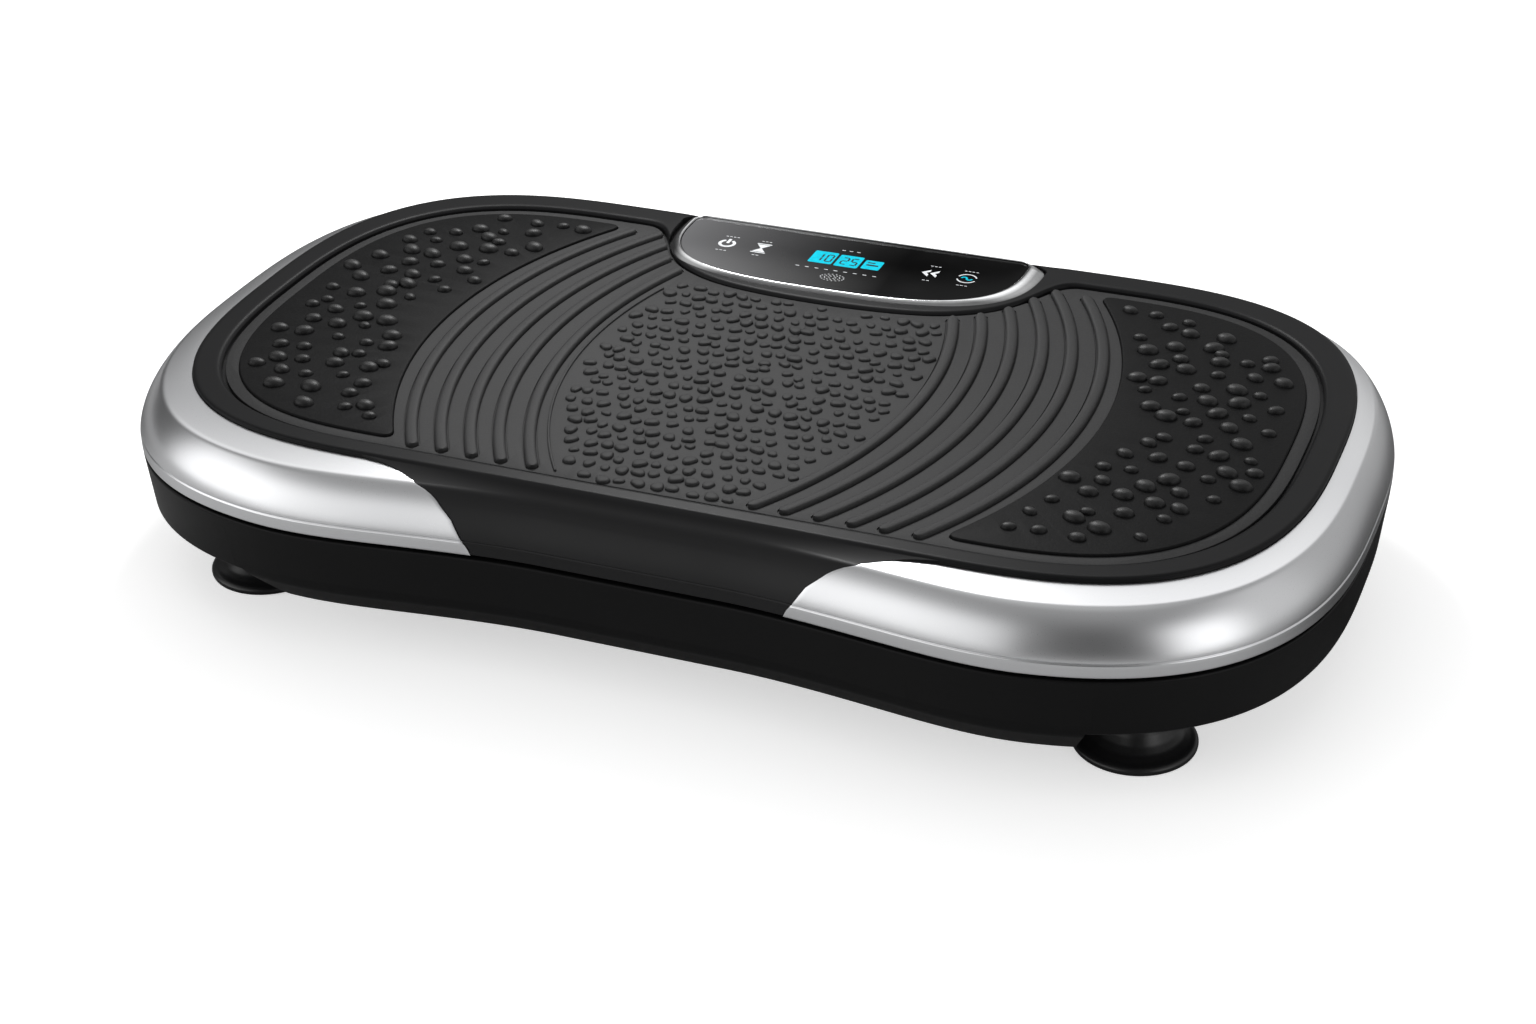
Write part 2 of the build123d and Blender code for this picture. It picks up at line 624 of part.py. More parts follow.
@piece
def crank_pulley():
    body = pulley(CRANK_X, CRANK_Z, LARGE_PULLEY_R, CRANK_R)
    for x, z in bolt_circle(CRANK_X, CRANK_Z, 18.5, 5, 18):
        body = body - cyl_y(x, z, BELT_Y - 9, BELT_Y + 7.5, 4.2)
    return body


@piece
def motor_pulley():
    return pulley(MOTOR_X, MOTOR_Z, SMALL_PULLEY_R, MOTOR_SHAFT_R)


def belt_hull(grow, half_wid):
    """Solid inside the belt line: both pulleys and their two outer tangents."""
    y0 = BELT_Y - half_wid
    motor = (MOTOR_X, MOTOR_Z, SMALL_PULLEY_R + grow)
    crank = (CRANK_X, CRANK_Z, LARGE_PULLEY_R + grow)
    dx, dz = CRANK_X - MOTOR_X, CRANK_Z - MOTOR_Z
    base = math.atan2(dz, dx)
    offset = math.acos((motor[2] - crank[2]) / math.hypot(dx, dz))

    def at(circle, angle):
        x, z, r = circle
        return Vector(x + r * math.cos(angle), y0, z + r * math.sin(angle))

    upper, lower = base + offset, base - offset
    edges = [Edge.make_line(at(motor, upper), at(crank, upper)),
             Edge.make_three_point_arc(at(crank, upper), at(crank, base), at(crank, lower)),
             Edge.make_line(at(crank, lower), at(motor, lower)),
             Edge.make_three_point_arc(at(motor, lower), at(motor, base + math.pi),
                                       at(motor, upper))]
    return Solid.extrude(Face(Wire(edges)), Vector(0, 2 * half_wid, 0))


@piece
def drive_belt():
    return belt_hull(1.9, 5) - belt_hull(RUN, 6)


# ------------------------------------------------------------------ motor
MOTOR_BOLTS = bolt_circle(MOTOR_X, MOTOR_Z, 20, 4, 45)


def motor_cyl(y0, y1, r):
    return cyl_y(MOTOR_X, MOTOR_Z, y0, y1, r)


@piece
def motor_housing():
    housing = motor_cyl(MOTOR_Y0, MOTOR_Y1, MOTOR_R)
    housing = housing - motor_cyl(MOTOR_Y0 + 4, MOTOR_Y1 - 4, MOTOR_R - 3)
    housing = housing - motor_cyl(-60, 60, MOTOR_SHAFT_R + RUN)
    for x, z in bolt_circle(MOTOR_X, MOTOR_Z, 17, 6):
        housing = housing - cyl_y(x, z, 46, 60, 4.0)
    return housing


@piece
def motor_magnets():
    return group([ring_y(MOTOR_X, MOTOR_Z, -36, 26, 26.9, 22.0)
                  & box(x0, x1, -40, 40, MOTOR_Z - 20, MOTOR_Z + 20)
                  for x0, x1 in both_sides(14, 30, MOTOR_X)])


@piece
def motor_rotor():
    rotor = motor_cyl(-84, 64, MOTOR_SHAFT_R) + motor_cyl(-34, 24, 20.5) + motor_cyl(30, 42, 9.0)
    for k, (x, z) in enumerate(bolt_circle(MOTOR_X, MOTOR_Z, 19, 8)):
        rotor = rotor - (Pos(x, -5, z) * Rot(0, -45 * k, 0) * Box(6, 70, 2.4))
    return rotor


@piece
def motor_fan():
    fan = motor_cyl(56, 63, 8.0) + motor_cyl(56, 57.2, 25.0)
    for k in range(9):
        blade = Pos(15.5, 0, 0) * Box(18, 5.6, 1.4)
        fan = fan + Pos(MOTOR_X, 59.6, MOTOR_Z) * Rot(0, 40 * k, 0) * blade
    return fan - motor_cyl(50, 70, MOTOR_SHAFT_R)


@piece
def motor_bracket():
    x0, x1 = MOTOR_X - 31, MOTOR_X + 31
    bracket = (box(x0, x1, -60, MOTOR_Y0, CHANNEL_TOP, 100)
               + box(x0, x1, -60, -30, CHANNEL_TOP, 38.2))
    bracket = bracket - motor_cyl(-61, -55, 9.0)
    for x, z in MOTOR_BOLTS:
        bracket = bracket - cyl_y(x, z, -61, -55, 2.2)
    return bracket


@piece
def motor_bolts():
    return group([cyl_y(x, z, -63, -60, 3.6) + cyl_y(x, z, -60.5, MOTOR_Y0 - 0.05, 2.0)
                  for x, z in MOTOR_BOLTS])


# ------------------------------------------------------------------ bump stops and feet
STUD_BOTTOM = 14.0
# profiles (r, z)
BUMP_PROFILE = [(0, FRAME_TOP), (11, FRAME_TOP), (11, FRAME_TOP + 16), (9, FRAME_TOP + 24),
                (6, FRAME_TOP + 26.8), (0, FRAME_TOP + 26.8)]
FOOT_PROFILE = [
    (0, 1.6), (26, 1.6), (29.5, 0.0), (FOOT_R, 0.0), (FOOT_R, 3.4), (31.6, 5.0), (27, 7.2),
    (21, 11.5), (18, 16.5), (17, 22), (17, 30), (19.5, 32), (19.5, WALL_LOW), (4.1, WALL_LOW),
    (4.1, STUD_BOTTOM), (0, STUD_BOTTOM),
]


@piece
def bump_stops():
    return group([spin_z(BUMP_PROFILE, x, y) for x in (-CROSS_X, CROSS_X) for y in (-104, 104)])


for place, (x, y) in FEET.items():
    save(spin_z(FOOT_PROFILE, x, y), "suction_foot_" + place)


@piece
def foot_studs():
    return group([cyl_z(x, y, STUD_BOTTOM, 72.0, 4.0) + cyl_z(x, y, 45.0, FRAME_BOTTOM, 9.0)
                  for x, y in FEET.values()])


@piece
def foot_nuts():
    return group([Pos(x, y, FRAME_TOP) * extrude(RegularPolygon(7.5, 6), 6.5)
                  - cyl_z(x, y, 60, 75, 4.05) for x, y in FEET.values()])


# ------------------------------------------------------------------ electrics
@piece
def power_board():
    board = box(-180, -60, -80, 60, POWER_Z0, POWER_Z1)
    for x, y in BOARD_POSTS:
        board = board - cyl_z(x, y, 55, 65, 1.7)
    return board


@piece
def board_standoffs():
    return group([cyl_z(x, y, PLATE_TOP, POWER_Z0, 3.2) for x, y in BOARD_POSTS])


@piece
def electronics_plate():
    return box(-190, -50, -116, 116, 46.2, PLATE_TOP)


@piece
def board_components():
    z0 = POWER_Z1
    return group([cyl_z(-160, -50, z0, 88, 9.0), cyl_z(-138, -50, z0, 88, 9.0),
                  box(-176, -150, -20, 10, z0, 84), box(-100, -76, -66, -40, z0, 78),
                  cyl_z(-84, -20, z0, 76, 7.0), box(-172, -148, 24, 50, z0, 72)])


@piece
def board_heatsink():
    sink = box(-128, -92, 0, 44, POWER_Z1, POWER_Z1 + 3)
    for i in range(7):
        sink = sink + box(-127 + i * 5.6, -125.4 + i * 5.6, 0, 44, 64.0, 86.0)
    return sink


@piece
def rear_socket_plate():
    plate = box(SOCKET_X - 47, SOCKET_X + 47, 187.5, SOCKET_FACE, 46.2, 71.6)
    return (plate - box_y(INLET_X, SOCKET_Z, 14, 10, 180, 200)
            - box_y(SWITCH_X, SOCKET_Z, 10, 7, 180, 200))


@piece
def mains_inlet():
    inlet = (box_y(INLET_X, SOCKET_Z, 17, 12, SOCKET_FACE, 192.4)
             + box_y(INLET_X, SOCKET_Z, 13.8, 9.8, 162, 190.5))
    inlet = inlet - box_y(INLET_X, SOCKET_Z, 11.5, 7.5, 172, 200)
    for dx, dz in ((-6.5, -2), (6.5, -2), (0, 2.5)):
        inlet = inlet + box_y(INLET_X + dx, SOCKET_Z + dz, 1, 2, 168, 188)
    return inlet


HINGE_Y = 186.6             # switch hinge, upright


@piece
def switch_body():
    body = (box_y(SWITCH_X, SOCKET_Z, 12, 9, SOCKET_FACE, 191.4)
            + box_y(SWITCH_X, SOCKET_Z, 9.8, 6.8, 168, 190.5))
    body = body - box_y(SWITCH_X, SOCKET_Z, 8.9, 5.3, 176, 200)
    return body - cyl_z(SWITCH_X, HINGE_Y, SOCKET_Z - 6.2, SOCKET_Z + 6.2, 1.25)


@piece
def switch_rocker():
    """Shallow V in plan, with its hinge pin."""
    outline = [(-7.2, 192.4), (0, 190.2), (7.6, 190.6), (7.0, 187.6), (0, 184.0), (-6.4, 188.6)]
    rocker = poly_prism([(SWITCH_X + dx, y) for dx, y in outline], SOCKET_Z - 4.9, SOCKET_Z + 4.9)
    return rocker + cyl_z(SWITCH_X, HINGE_Y, SOCKET_Z - 6.0, SOCKET_Z + 6.0, 1.2)


# cables: each end is trimmed where it meets its neighbour
@piece
def mains_cable():
    route = [(INLET_X, 164.0, 58.4), (INLET_X, 155, 63), (INLET_X - 1, 148, 71), (-94, 130, 74),
             (-100, 108, 74), (-104, 84, 72), (-104, 70, 68)]
    return cable(route, 3.0) - box(SOCKET_X - 40, SOCKET_X, 161.95, 175, 40, 80)


@piece
def motor_cable():
    route = [(-60.5, -50, 74), (-50, -50, 74), (-35, -30, 74), (-20, 0, 70), (0, 20, 68),
             (20, 30, 69), (30.5, 32, 69)]
    return cable(route, 3.0) - motor_cyl(MOTOR_Y0, MOTOR_Y1, MOTOR_R + 0.2)


@piece
def display_cable():
    route = [(-40, 150, 107.0), (-40, 150, 100), (-48, 146, 92), (-60, 142, 82), (-72, 138, 74)]
    return cable(route, 2.6) - box(-60, -20, 135, 165, BOARD_Z0 - 0.05, 112)
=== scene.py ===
import bpy
import bmesh
import json
import math
import numpy as np
from mathutils import Vector, Matrix


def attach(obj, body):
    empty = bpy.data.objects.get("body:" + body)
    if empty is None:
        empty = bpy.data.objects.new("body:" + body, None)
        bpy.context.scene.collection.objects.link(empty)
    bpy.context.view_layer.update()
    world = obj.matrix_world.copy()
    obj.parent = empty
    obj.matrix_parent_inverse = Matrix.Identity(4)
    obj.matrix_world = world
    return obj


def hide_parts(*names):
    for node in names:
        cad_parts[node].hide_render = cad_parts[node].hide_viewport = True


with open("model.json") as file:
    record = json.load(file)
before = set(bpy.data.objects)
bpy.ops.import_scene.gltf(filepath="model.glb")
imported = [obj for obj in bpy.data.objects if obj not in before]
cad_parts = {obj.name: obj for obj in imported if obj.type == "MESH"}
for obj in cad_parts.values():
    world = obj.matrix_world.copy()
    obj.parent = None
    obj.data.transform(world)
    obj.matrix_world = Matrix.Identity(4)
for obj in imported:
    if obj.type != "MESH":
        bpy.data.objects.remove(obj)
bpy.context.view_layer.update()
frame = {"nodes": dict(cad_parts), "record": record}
RECORD = frame["record"]
NODES = frame["nodes"]
MM = 0.001

# ---------------------------------------------------------------- outlines (millimetres)
RIM_CY = 14.5


def corner(cx, cy, ax, ay, n, k=2400):
    th = np.linspace(0, math.pi / 2, k + 1)
    x = cx + ax * np.clip(np.sin(th), 0, 1) ** (2 / n)
    y = cy + ay * np.clip(np.cos(th), 0, 1) ** (2 / n)
    return np.c_[x, y]


def waist(x, lo=50.0, hi=225.0):
    s = np.clip((np.abs(x) - lo) / (hi - lo), 0, 1)
    return 1 - s * s * (3 - 2 * s)


def half_loop(cx, cy, ax, ay, n, dip=0.0):
    """right half, from the middle of the back clockwise to the middle of the front"""
    q = corner(cx, cy, ax, ay, n)
    k = 400
    t = np.linspace(0, 1, k, endpoint=False)[:, None]
    top = np.array([[0.0, cy + ay]]) * (1 - t) + q[:1] * t
    low = q[::-1].copy(); low[:, 1] = 2 * cy - low[:, 1]
    t2 = np.linspace(0, 1, k + 1)[1:, None]
    bot = low[-1:] * (1 - t2) + np.array([[0.0, cy - ay]]) * t2
    p = np.vstack([top, q, low[1:], bot])
    f = p[:, 1] < cy
    p[f, 1] += dip * waist(p[f, 0])
    return p


def by_length(p, n):
    d = np.r_[0, np.cumsum(np.hypot(*np.diff(p, axis=0).T))]
    s = np.linspace(0, d[-1], n)
    return np.c_[np.interp(s, d, p[:, 0]), np.interp(s, d, p[:, 1])]


NS = 6001                       # samples on each right half outline, s = 0 .. 0.5
A_H = by_length(half_loop(165, RIM_CY, 172, 183.5, 2.8), NS)          # rim outer edge
M_H = by_length(half_loop(160, 5.0, 188, 194.0, 2.75, 14.0), NS)      # outer edge of the flat band
B_H = by_length(half_loop(150, 0.0, 213, 207.0, 2.8, 15.0), NS)       # outline at the parting gap
S_H = np.linspace(0, 0.5, NS)


def curve(w):
    """blend of the rim, band and gap outlines, right half"""
    return A_H * w[0] + M_H * w[1] + B_H * w[2]


def sample(half, s):
    """points of a mirrored closed outline at parameters s in [0, 1)"""
    s = np.asarray(s) % 1.0
    m = s > 0.5
    ss = np.where(m, 1 - s, s)
    x = np.interp(ss, S_H, half[:, 0]); y = np.interp(ss, S_H, half[:, 1])
    return np.c_[np.where(m, -x, x), y]


def normals2(half, s):
    e = 1.2e-3
    t = sample(half, s + e) - sample(half, s - e)
    t /= np.linalg.norm(t, axis=1)[:, None]
    return np.c_[-t[:, 1], t[:, 0]]          # outward for a clockwise outline


def find_s(half, x, front):
    """parameter where the right half has that x, on its front or its back side"""
    k = int(np.argmax(half[:, 0]))
    if front:
        return float(np.interp(x, half[k:, 0][::-1], S_H[k:][::-1]))
    return float(np.interp(x, half[:k + 1, 0], S_H[:k + 1]))


# ---------------------------------------------------------------- mesh helpers
def new_obj(name, verts, faces, scale=MM):
    me = bpy.data.meshes.new(name)
    v = (np.asarray(verts, float) * scale)
    me.from_pydata([tuple(p) for p in v], [], [tuple(f) for f in faces])
    me.validate()
    ob = bpy.data.objects.new(name, me)
    bpy.context.scene.collection.objects.link(ob)
    return ob


def fix_normals(ob):
    bm = bmesh.new(); bm.from_mesh(ob.data)
    bmesh.ops.recalc_face_normals(bm, faces=bm.faces)
    bm.to_mesh(ob.data); bm.free()


def smooth(ob, angle=35.0):
    me = ob.data
    for p in me.polygons:
        p.use_smooth = True
    bm = bmesh.new(); bm.from_mesh(me)
    lim = math.radians(angle)
    for e in bm.edges:
        if len(e.link_faces) == 2:
            e.smooth = e.calc_face_angle(0) < lim
    bm.to_mesh(me); bm.free()


def apply_mods(ob):
    dg = bpy.context.evaluated_depsgraph_get()
    me = bpy.data.meshes.new_from_object(ob.evaluated_get(dg))
    old = ob.data
    ob.modifiers.clear()
    ob.data = me
    bpy.data.meshes.remove(old)


def bevel(ob, width, segs=2, angle=35.0):
    m = ob.modifiers.new("bevel", "BEVEL")
    m.width = width * MM; m.segments = segs
    m.limit_method = "ANGLE"; m.angle_limit = math.radians(angle)
    m.use_clamp_overlap = True
    apply_mods(ob)


def boolean(ob, other, op, solver="MANIFOLD", keep=False):
    m = ob.modifiers.new("bool", "BOOLEAN")
    m.operation = op; m.object = other
    try:
        m.solver = solver
    except TypeError:
        m.solver = "EXACT"
    apply_mods(ob)
    if not keep:
        bpy.data.objects.remove(other, do_unlink=True)


def join(objs, name):
    verts, faces = [], []
    n = 0
    for o in objs:
        me = o.data
        verts += [tuple(v.co) for v in me.vertices]
        faces += [tuple(i + n for i in p.vertices) for p in me.polygons]
        n += len(me.vertices)
        bpy.data.objects.remove(o, do_unlink=True)
    return new_obj(name, verts, faces, 1.0)


def rings(rows, cap_lo=True, cap_hi=True):
    """closed body from a stack of closed rings, each n x 3"""
    n = len(rows[0])
    verts = np.vstack(rows)
    faces = []
    for r in range(len(rows) - 1):
        a, b = r * n, (r + 1) * n
        for j in range(n):
            k = (j + 1) % n
            faces.append((a + j, a + k, b + k, b + j))
    if cap_lo:
        faces.append(tuple(range(n))[::-1])
    if cap_hi:
        faces.append(tuple(range((len(rows) - 1) * n, len(rows) * n)))
    return verts, faces


def prism(name, pts, z0, z1):
    pts = np.asarray(pts, float)
    lo = np.c_[pts, np.full(len(pts), z0)]; hi = np.c_[pts, np.full(len(pts), z1)]
    v, f = rings([lo, hi])
    o = new_obj(name, v, f); fix_normals(o); return o


def lathe(name, prof, x, y, n=96):
    """prof is (r, z) from the bottom middle to the top middle"""
    th = np.linspace(0, 2 * math.pi, n, endpoint=False)
    verts, faces, rows = [], [], []
    for r, z in prof:
        if r < 1e-6:
            rows.append([len(verts)]); verts.append((x, y, z))
        else:
            rows.append(list(range(len(verts), len(verts) + n)))
            verts += [(x + r * math.cos(t), y + r * math.sin(t), z) for t in th]
    for a, b in zip(rows, rows[1:]):
        if len(a) == 1 and len(b) == 1:
            continue
        for j in range(n):
            k = (j + 1) % n
            if len(a) == 1:
                faces.append((a[0], b[k], b[j]))
            elif len(b) == 1:
                faces.append((a[j], a[k], b[0]))
            else:
                faces.append((a[j], a[k], b[k], b[j]))
    o = new_obj(name, verts, faces); fix_normals(o); return o


def fillet_prof(pts, r=1.0, k=5):
    """rounds every inner corner of an (r, z) profile"""
    out = [pts[0]]
    for p0, p1, p2 in zip(pts, pts[1:], pts[2:]):
        a = np.array(p0) - np.array(p1); b = np.array(p2) - np.array(p1)
        la, lb = np.linalg.norm(a), np.linalg.norm(b)
        d = min(r, la * 0.45, lb * 0.45)
        q0 = np.array(p1) + a / la * d; q2 = np.array(p1) + b / lb * d
        for i in range(k + 1):
            t = i / k
            q = (1 - t) ** 2 * q0 + 2 * t * (1 - t) * np.array(p1) + t * t * q2
            out.append(tuple(q))
    out.append(pts[-1])
    return out


# ---------------------------------------------------------------- materials
MATS = {}


class Tree:
    def __init__(self, name):
        self.m = bpy.data.materials.new(name)
        self.m.use_nodes = True
        self.t = self.m.node_tree
        self.t.nodes.clear()
        self.out = self.n("ShaderNodeOutputMaterial")
        self.b = self.n("ShaderNodeBsdfPrincipled")
        self.l(self.b.outputs[0], self.out.inputs["Surface"])
        self.co = self.n("ShaderNodeTexCoord").outputs["Object"]

    def n(self, kind, **kw):
        x = self.t.nodes.new(kind)
        for k, v in kw.items():
            setattr(x, k, v)
        return x

    def l(self, a, b):
        self.t.links.new(a, b)

    def s(self, **kw):
        for k, v in kw.items():
            self.b.inputs[k.replace("_", " ")].default_value = v

    def noise(self, scale, detail=3.0, rough=0.5, vec=None, dist=0.0):
        x = self.n("ShaderNodeTexNoise")
        x.inputs["Scale"].default_value = scale
        x.inputs["Detail"].default_value = detail
        x.inputs["Roughness"].default_value = rough
        x.inputs["Distortion"].default_value = dist
        self.l(vec or self.co, x.inputs["Vector"])
        return x.outputs["Fac"]

    def ramp(self, fac, stops):
        x = self.n("ShaderNodeValToRGB")
        e = x.color_ramp.elements
        while len(e) < len(stops):
            e.new(0.5)
        for el, (p, c) in zip(e, stops):
            el.position = p
            el.color = c if len(c) == 4 else (*c, 1.0)
        self.l(fac, x.inputs["Fac"])
        return x.outputs["Color"]

    def rng(self, fac, a, b, lo=0.0, hi=1.0):
        x = self.n("ShaderNodeMapRange")
        x.inputs["From Min"].default_value = lo; x.inputs["From Max"].default_value = hi
        x.inputs["To Min"].default_value = a; x.inputs["To Max"].default_value = b
        self.l(fac, x.inputs["Value"])
        return x.outputs["Result"]

    def bump(self, height, strength, dist, normal=None):
        x = self.n("ShaderNodeBump")
        x.inputs["Strength"].default_value = strength
        x.inputs["Distance"].default_value = dist
        self.l(height, x.inputs["Height"])
        if normal is not None:
            self.l(normal, x.inputs["Normal"])
        return x.outputs["Normal"]

    def scaled(self, sx, sy, sz):
        x = self.n("ShaderNodeMapping")
        x.inputs["Scale"].default_value = (sx, sy, sz)
        self.l(self.co, x.inputs["Vector"])
        return x.outputs["Vector"]


def mix_col(c, k):
    return (min(c[0] * k, 1), min(c[1] * k, 1), min(c[2] * k, 1), 1.0)


def plastic(name, col, rough, grain=900.0, bump_s=0.15, var=0.12, spec=0.5, coat=0.0, coat_r=0.2):
    """moulded plastic: faint colour drift, fine texture in the sheen and in the surface"""
    t = Tree(name)
    big = t.noise(9.0, 4.0, 0.55)
    t.l(t.ramp(big, [(0.3, mix_col(col, 1 - var)), (0.7, mix_col(col, 1 + var))]), t.b.inputs["Base Color"])
    fine = t.noise(grain, 3.0, 0.6)
    mid = t.noise(60.0, 4.0, 0.6)
    add = t.n("ShaderNodeMath", operation="ADD")
    t.l(t.rng(fine, -0.03, 0.03), add.inputs[0]); t.l(t.rng(mid, rough - 0.03, rough + 0.03), add.inputs[1])
    t.l(add.outputs[0], t.b.inputs["Roughness"])
    t.l(t.bump(fine, bump_s, 0.00012), t.b.inputs["Normal"])
    t.s(Specular_IOR_Level=spec, Coat_Weight=coat, Coat_Roughness=coat_r)
    return t.m


def metal(name, col, rough, stretch=(1, 1, 1), grain=400.0, bump_s=0.1, var=0.08, metallic=1.0):
    """bare metal: direction of the machining in the sheen, slight tone drift"""
    t = Tree(name)
    v = t.scaled(*stretch)
    g = t.noise(grain, 4.0, 0.6, v)
    big = t.noise(14.0, 3.0, 0.5)
    t.l(t.ramp(big, [(0.3, mix_col(col, 1 - var)), (0.7, mix_col(col, 1 + var))]), t.b.inputs["Base Color"])
    t.l(t.rng(g, rough - 0.08, rough + 0.08), t.b.inputs["Roughness"])
    t.l(t.bump(g, bump_s, 0.00008), t.b.inputs["Normal"])
    t.s(Metallic=metallic)
    return t.m


def rubber(name, col, rough=0.7, grain=520.0, bump_s=0.5, var=0.15, depth=0.0004, spec=0.35, speck=0.35):
    """fine grained rubber: pebbled grain at two scales, colour mottled with it"""
    t = Tree(name)
    g1 = t.noise(grain, 4.0, 0.65)
    g2 = t.noise(grain * 3.1, 2.0, 0.5)
    big = t.noise(11.0, 4.0, 0.6)
    m = t.n("ShaderNodeMix", data_type="RGBA")
    m.inputs["Factor"].default_value = speck
    t.l(t.ramp(big, [(0.3, mix_col(col, 1 - var)), (0.7, mix_col(col, 1 + var))]), m.inputs["A"])
    t.l(t.ramp(g1, [(0.35, mix_col(col, 0.55)), (0.65, mix_col(col, 1.6))]), m.inputs["B"])
    t.l(m.outputs["Result"], t.b.inputs["Base Color"])
    t.l(t.rng(g1, rough - 0.08, rough + 0.1), t.b.inputs["Roughness"])
    a = t.n("ShaderNodeMath", operation="MULTIPLY_ADD")
    t.l(g2, a.inputs[0]); a.inputs[1].default_value = 0.5; t.l(g1, a.inputs[2])
    t.l(t.bump(a.outputs[0], bump_s, depth), t.b.inputs["Normal"])
    t.s(Specular_IOR_Level=spec)
    return t.m


def assign(ob, mat):
    ob.data.materials.clear()
    ob.data.materials.append(mat)


def finish_piece(ob, body, mat):
    assign(ob, mat)
    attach(ob, body)
    return ob


def silver_material():
    t = Tree("silver_lacquer")
    flake = t.noise(2600.0, 2.0, 0.6)
    peel = t.noise(70.0, 2.0, 0.4)
    big = t.noise(7.0, 3.0, 0.5)
    t.l(t.ramp(big, [(0.3, (0.66, 0.665, 0.68, 1)), (0.7, (0.70, 0.705, 0.715, 1))]), t.b.inputs["Base Color"])
    t.l(t.rng(flake, 0.25, 0.33), t.b.inputs["Roughness"])
    n = t.bump(flake, 0.10, 0.00003)
    t.l(t.bump(peel, 0.03, 0.0002, n), t.b.inputs["Normal"])
    t.s(Metallic=1.0, Coat_Weight=0.10, Coat_Roughness=0.2)
    return t.m


def chrome_material():
    t = Tree("ring_chrome")
    g = t.noise(300.0, 2.0, 0.5)
    t.l(t.ramp(g, [(0.3, (0.60, 0.605, 0.61, 1)), (0.7, (0.66, 0.665, 0.67, 1))]), t.b.inputs["Base Color"])
    t.l(t.rng(g, 0.10, 0.16), t.b.inputs["Roughness"])
    t.s(Metallic=1.0)
    return t.m

# ---------------------------------------------------------------- profile of the platform side
Z_RIM_EDGE = 113.3      # silver band at the rim
Z_BAND = 112.3          # outer edge of the flat band
Z_CREASE = 88.2
Z_LOW = 79.4
# (weight rim, weight band, weight gap, z)
CUTX = np.array([(89.5, 76), (91, 80), (92.8, 84), (96.3, 88.5), (98.5, 92), (102.5, 98), (105.5, 100.5),
                 (110.4, 104.2), (113, 106.3), (116.8, 108.4), (121.2, 110.2), (125.4, 111.4), (129.5, 112.3), (133, 112.529),
                 (136, 112.735), (140.5, 112.97), (147, 113.154), (154, 113.252), (161, 113.29), (168, 113.3)])


def bulge_profile(n=26):
    """turns quickly just outside the band, then falls in a long gentle curve to the crease"""
    L = np.linspace(0, 1, 400)
    ang = np.where(L < 0.17, 6 + 36 * (0.5 - 0.5 * np.cos(math.pi * L / 0.17)), 42 + 34 * ((L - 0.17) / 0.83) ** 1.15)
    dx, dz = np.cos(np.radians(ang)), np.sin(np.radians(ang))
    x = np.r_[0, np.cumsum((dx[1:] + dx[:-1]) / 2)]; z = np.r_[0, np.cumsum((dz[1:] + dz[:-1]) / 2)]
    x /= x[-1]; z /= z[-1]
    i = np.linspace(0, 1, n) ** 1.25 * 399
    return np.c_[np.interp(i, np.arange(400), x), np.interp(i, np.arange(400), z)]


def side_rows():
    rows = []
    for a in (0.0, 0.05, 0.15, 0.3, 0.5, 0.7, 0.85, 0.95):
        rows.append((1 - a, a, 0.0, Z_RIM_EDGE + (Z_BAND - Z_RIM_EDGE) * a ** 1.6))
    for bx, bz in bulge_profile():
        b = bx * 0.985
        rows.append((0.0, 1 - b, b, Z_BAND + (Z_CREASE - Z_BAND) * bz))
    # shallow groove between the bulge and the flange
    rows.append((0.0, 0.034, 0.966, Z_CREASE - 0.35))
    rows.append((0.0, 0.040, 0.960, Z_CREASE - 0.75))
    rows.append((0.0, 0.026, 0.974, Z_CREASE - 1.1))
    rows.append((0.0, 0.006, 0.994, Z_CREASE - 1.4))
    for z in (86.4, 84.5, 82.5, 80.9, 80.2):
        rows.append((0.0, 0.0, 1.0, z))
    return rows


ROWS = side_rows()


def row_normals(rows):
    """outward and upward parts of the surface normal of each row, from the section at the front corner"""
    s = np.array([0.36])
    p = []
    for w in rows:
        q = sample(curve(w), s)[0]
        p.append((math.hypot(q[0] - 100, q[1] + 60), w[3]))
    p = np.array(p)
    d = np.gradient(p, axis=0)
    d /= np.linalg.norm(d, axis=1)[:, None]
    return np.c_[-d[:, 1], d[:, 0]] * np.where(-d[:, 1:2] < -0.2, -1, 1)


RN = row_normals(ROWS)
RN = np.array([(abs(a), max(b, 0.0)) for a, b in RN])
RN /= np.linalg.norm(RN, axis=1)[:, None]


def cut_x(z):
    return float(np.interp(z, CUTX[:, 1], CUTX[:, 0]))


def side_point(w, nrm, s, d):
    """points of one row at parameters s, pushed out by d along the section normal (negative is inwards)"""
    h = curve(w)
    p = sample(h, s)
    n = normals2(h, s)
    d = np.broadcast_to(d, (len(p),))
    return np.c_[p + n * (d * nrm[0])[:, None], w[3] + d * nrm[1]]


# ---------------------------------------------------------------- silver covers
SILVER = silver_material()


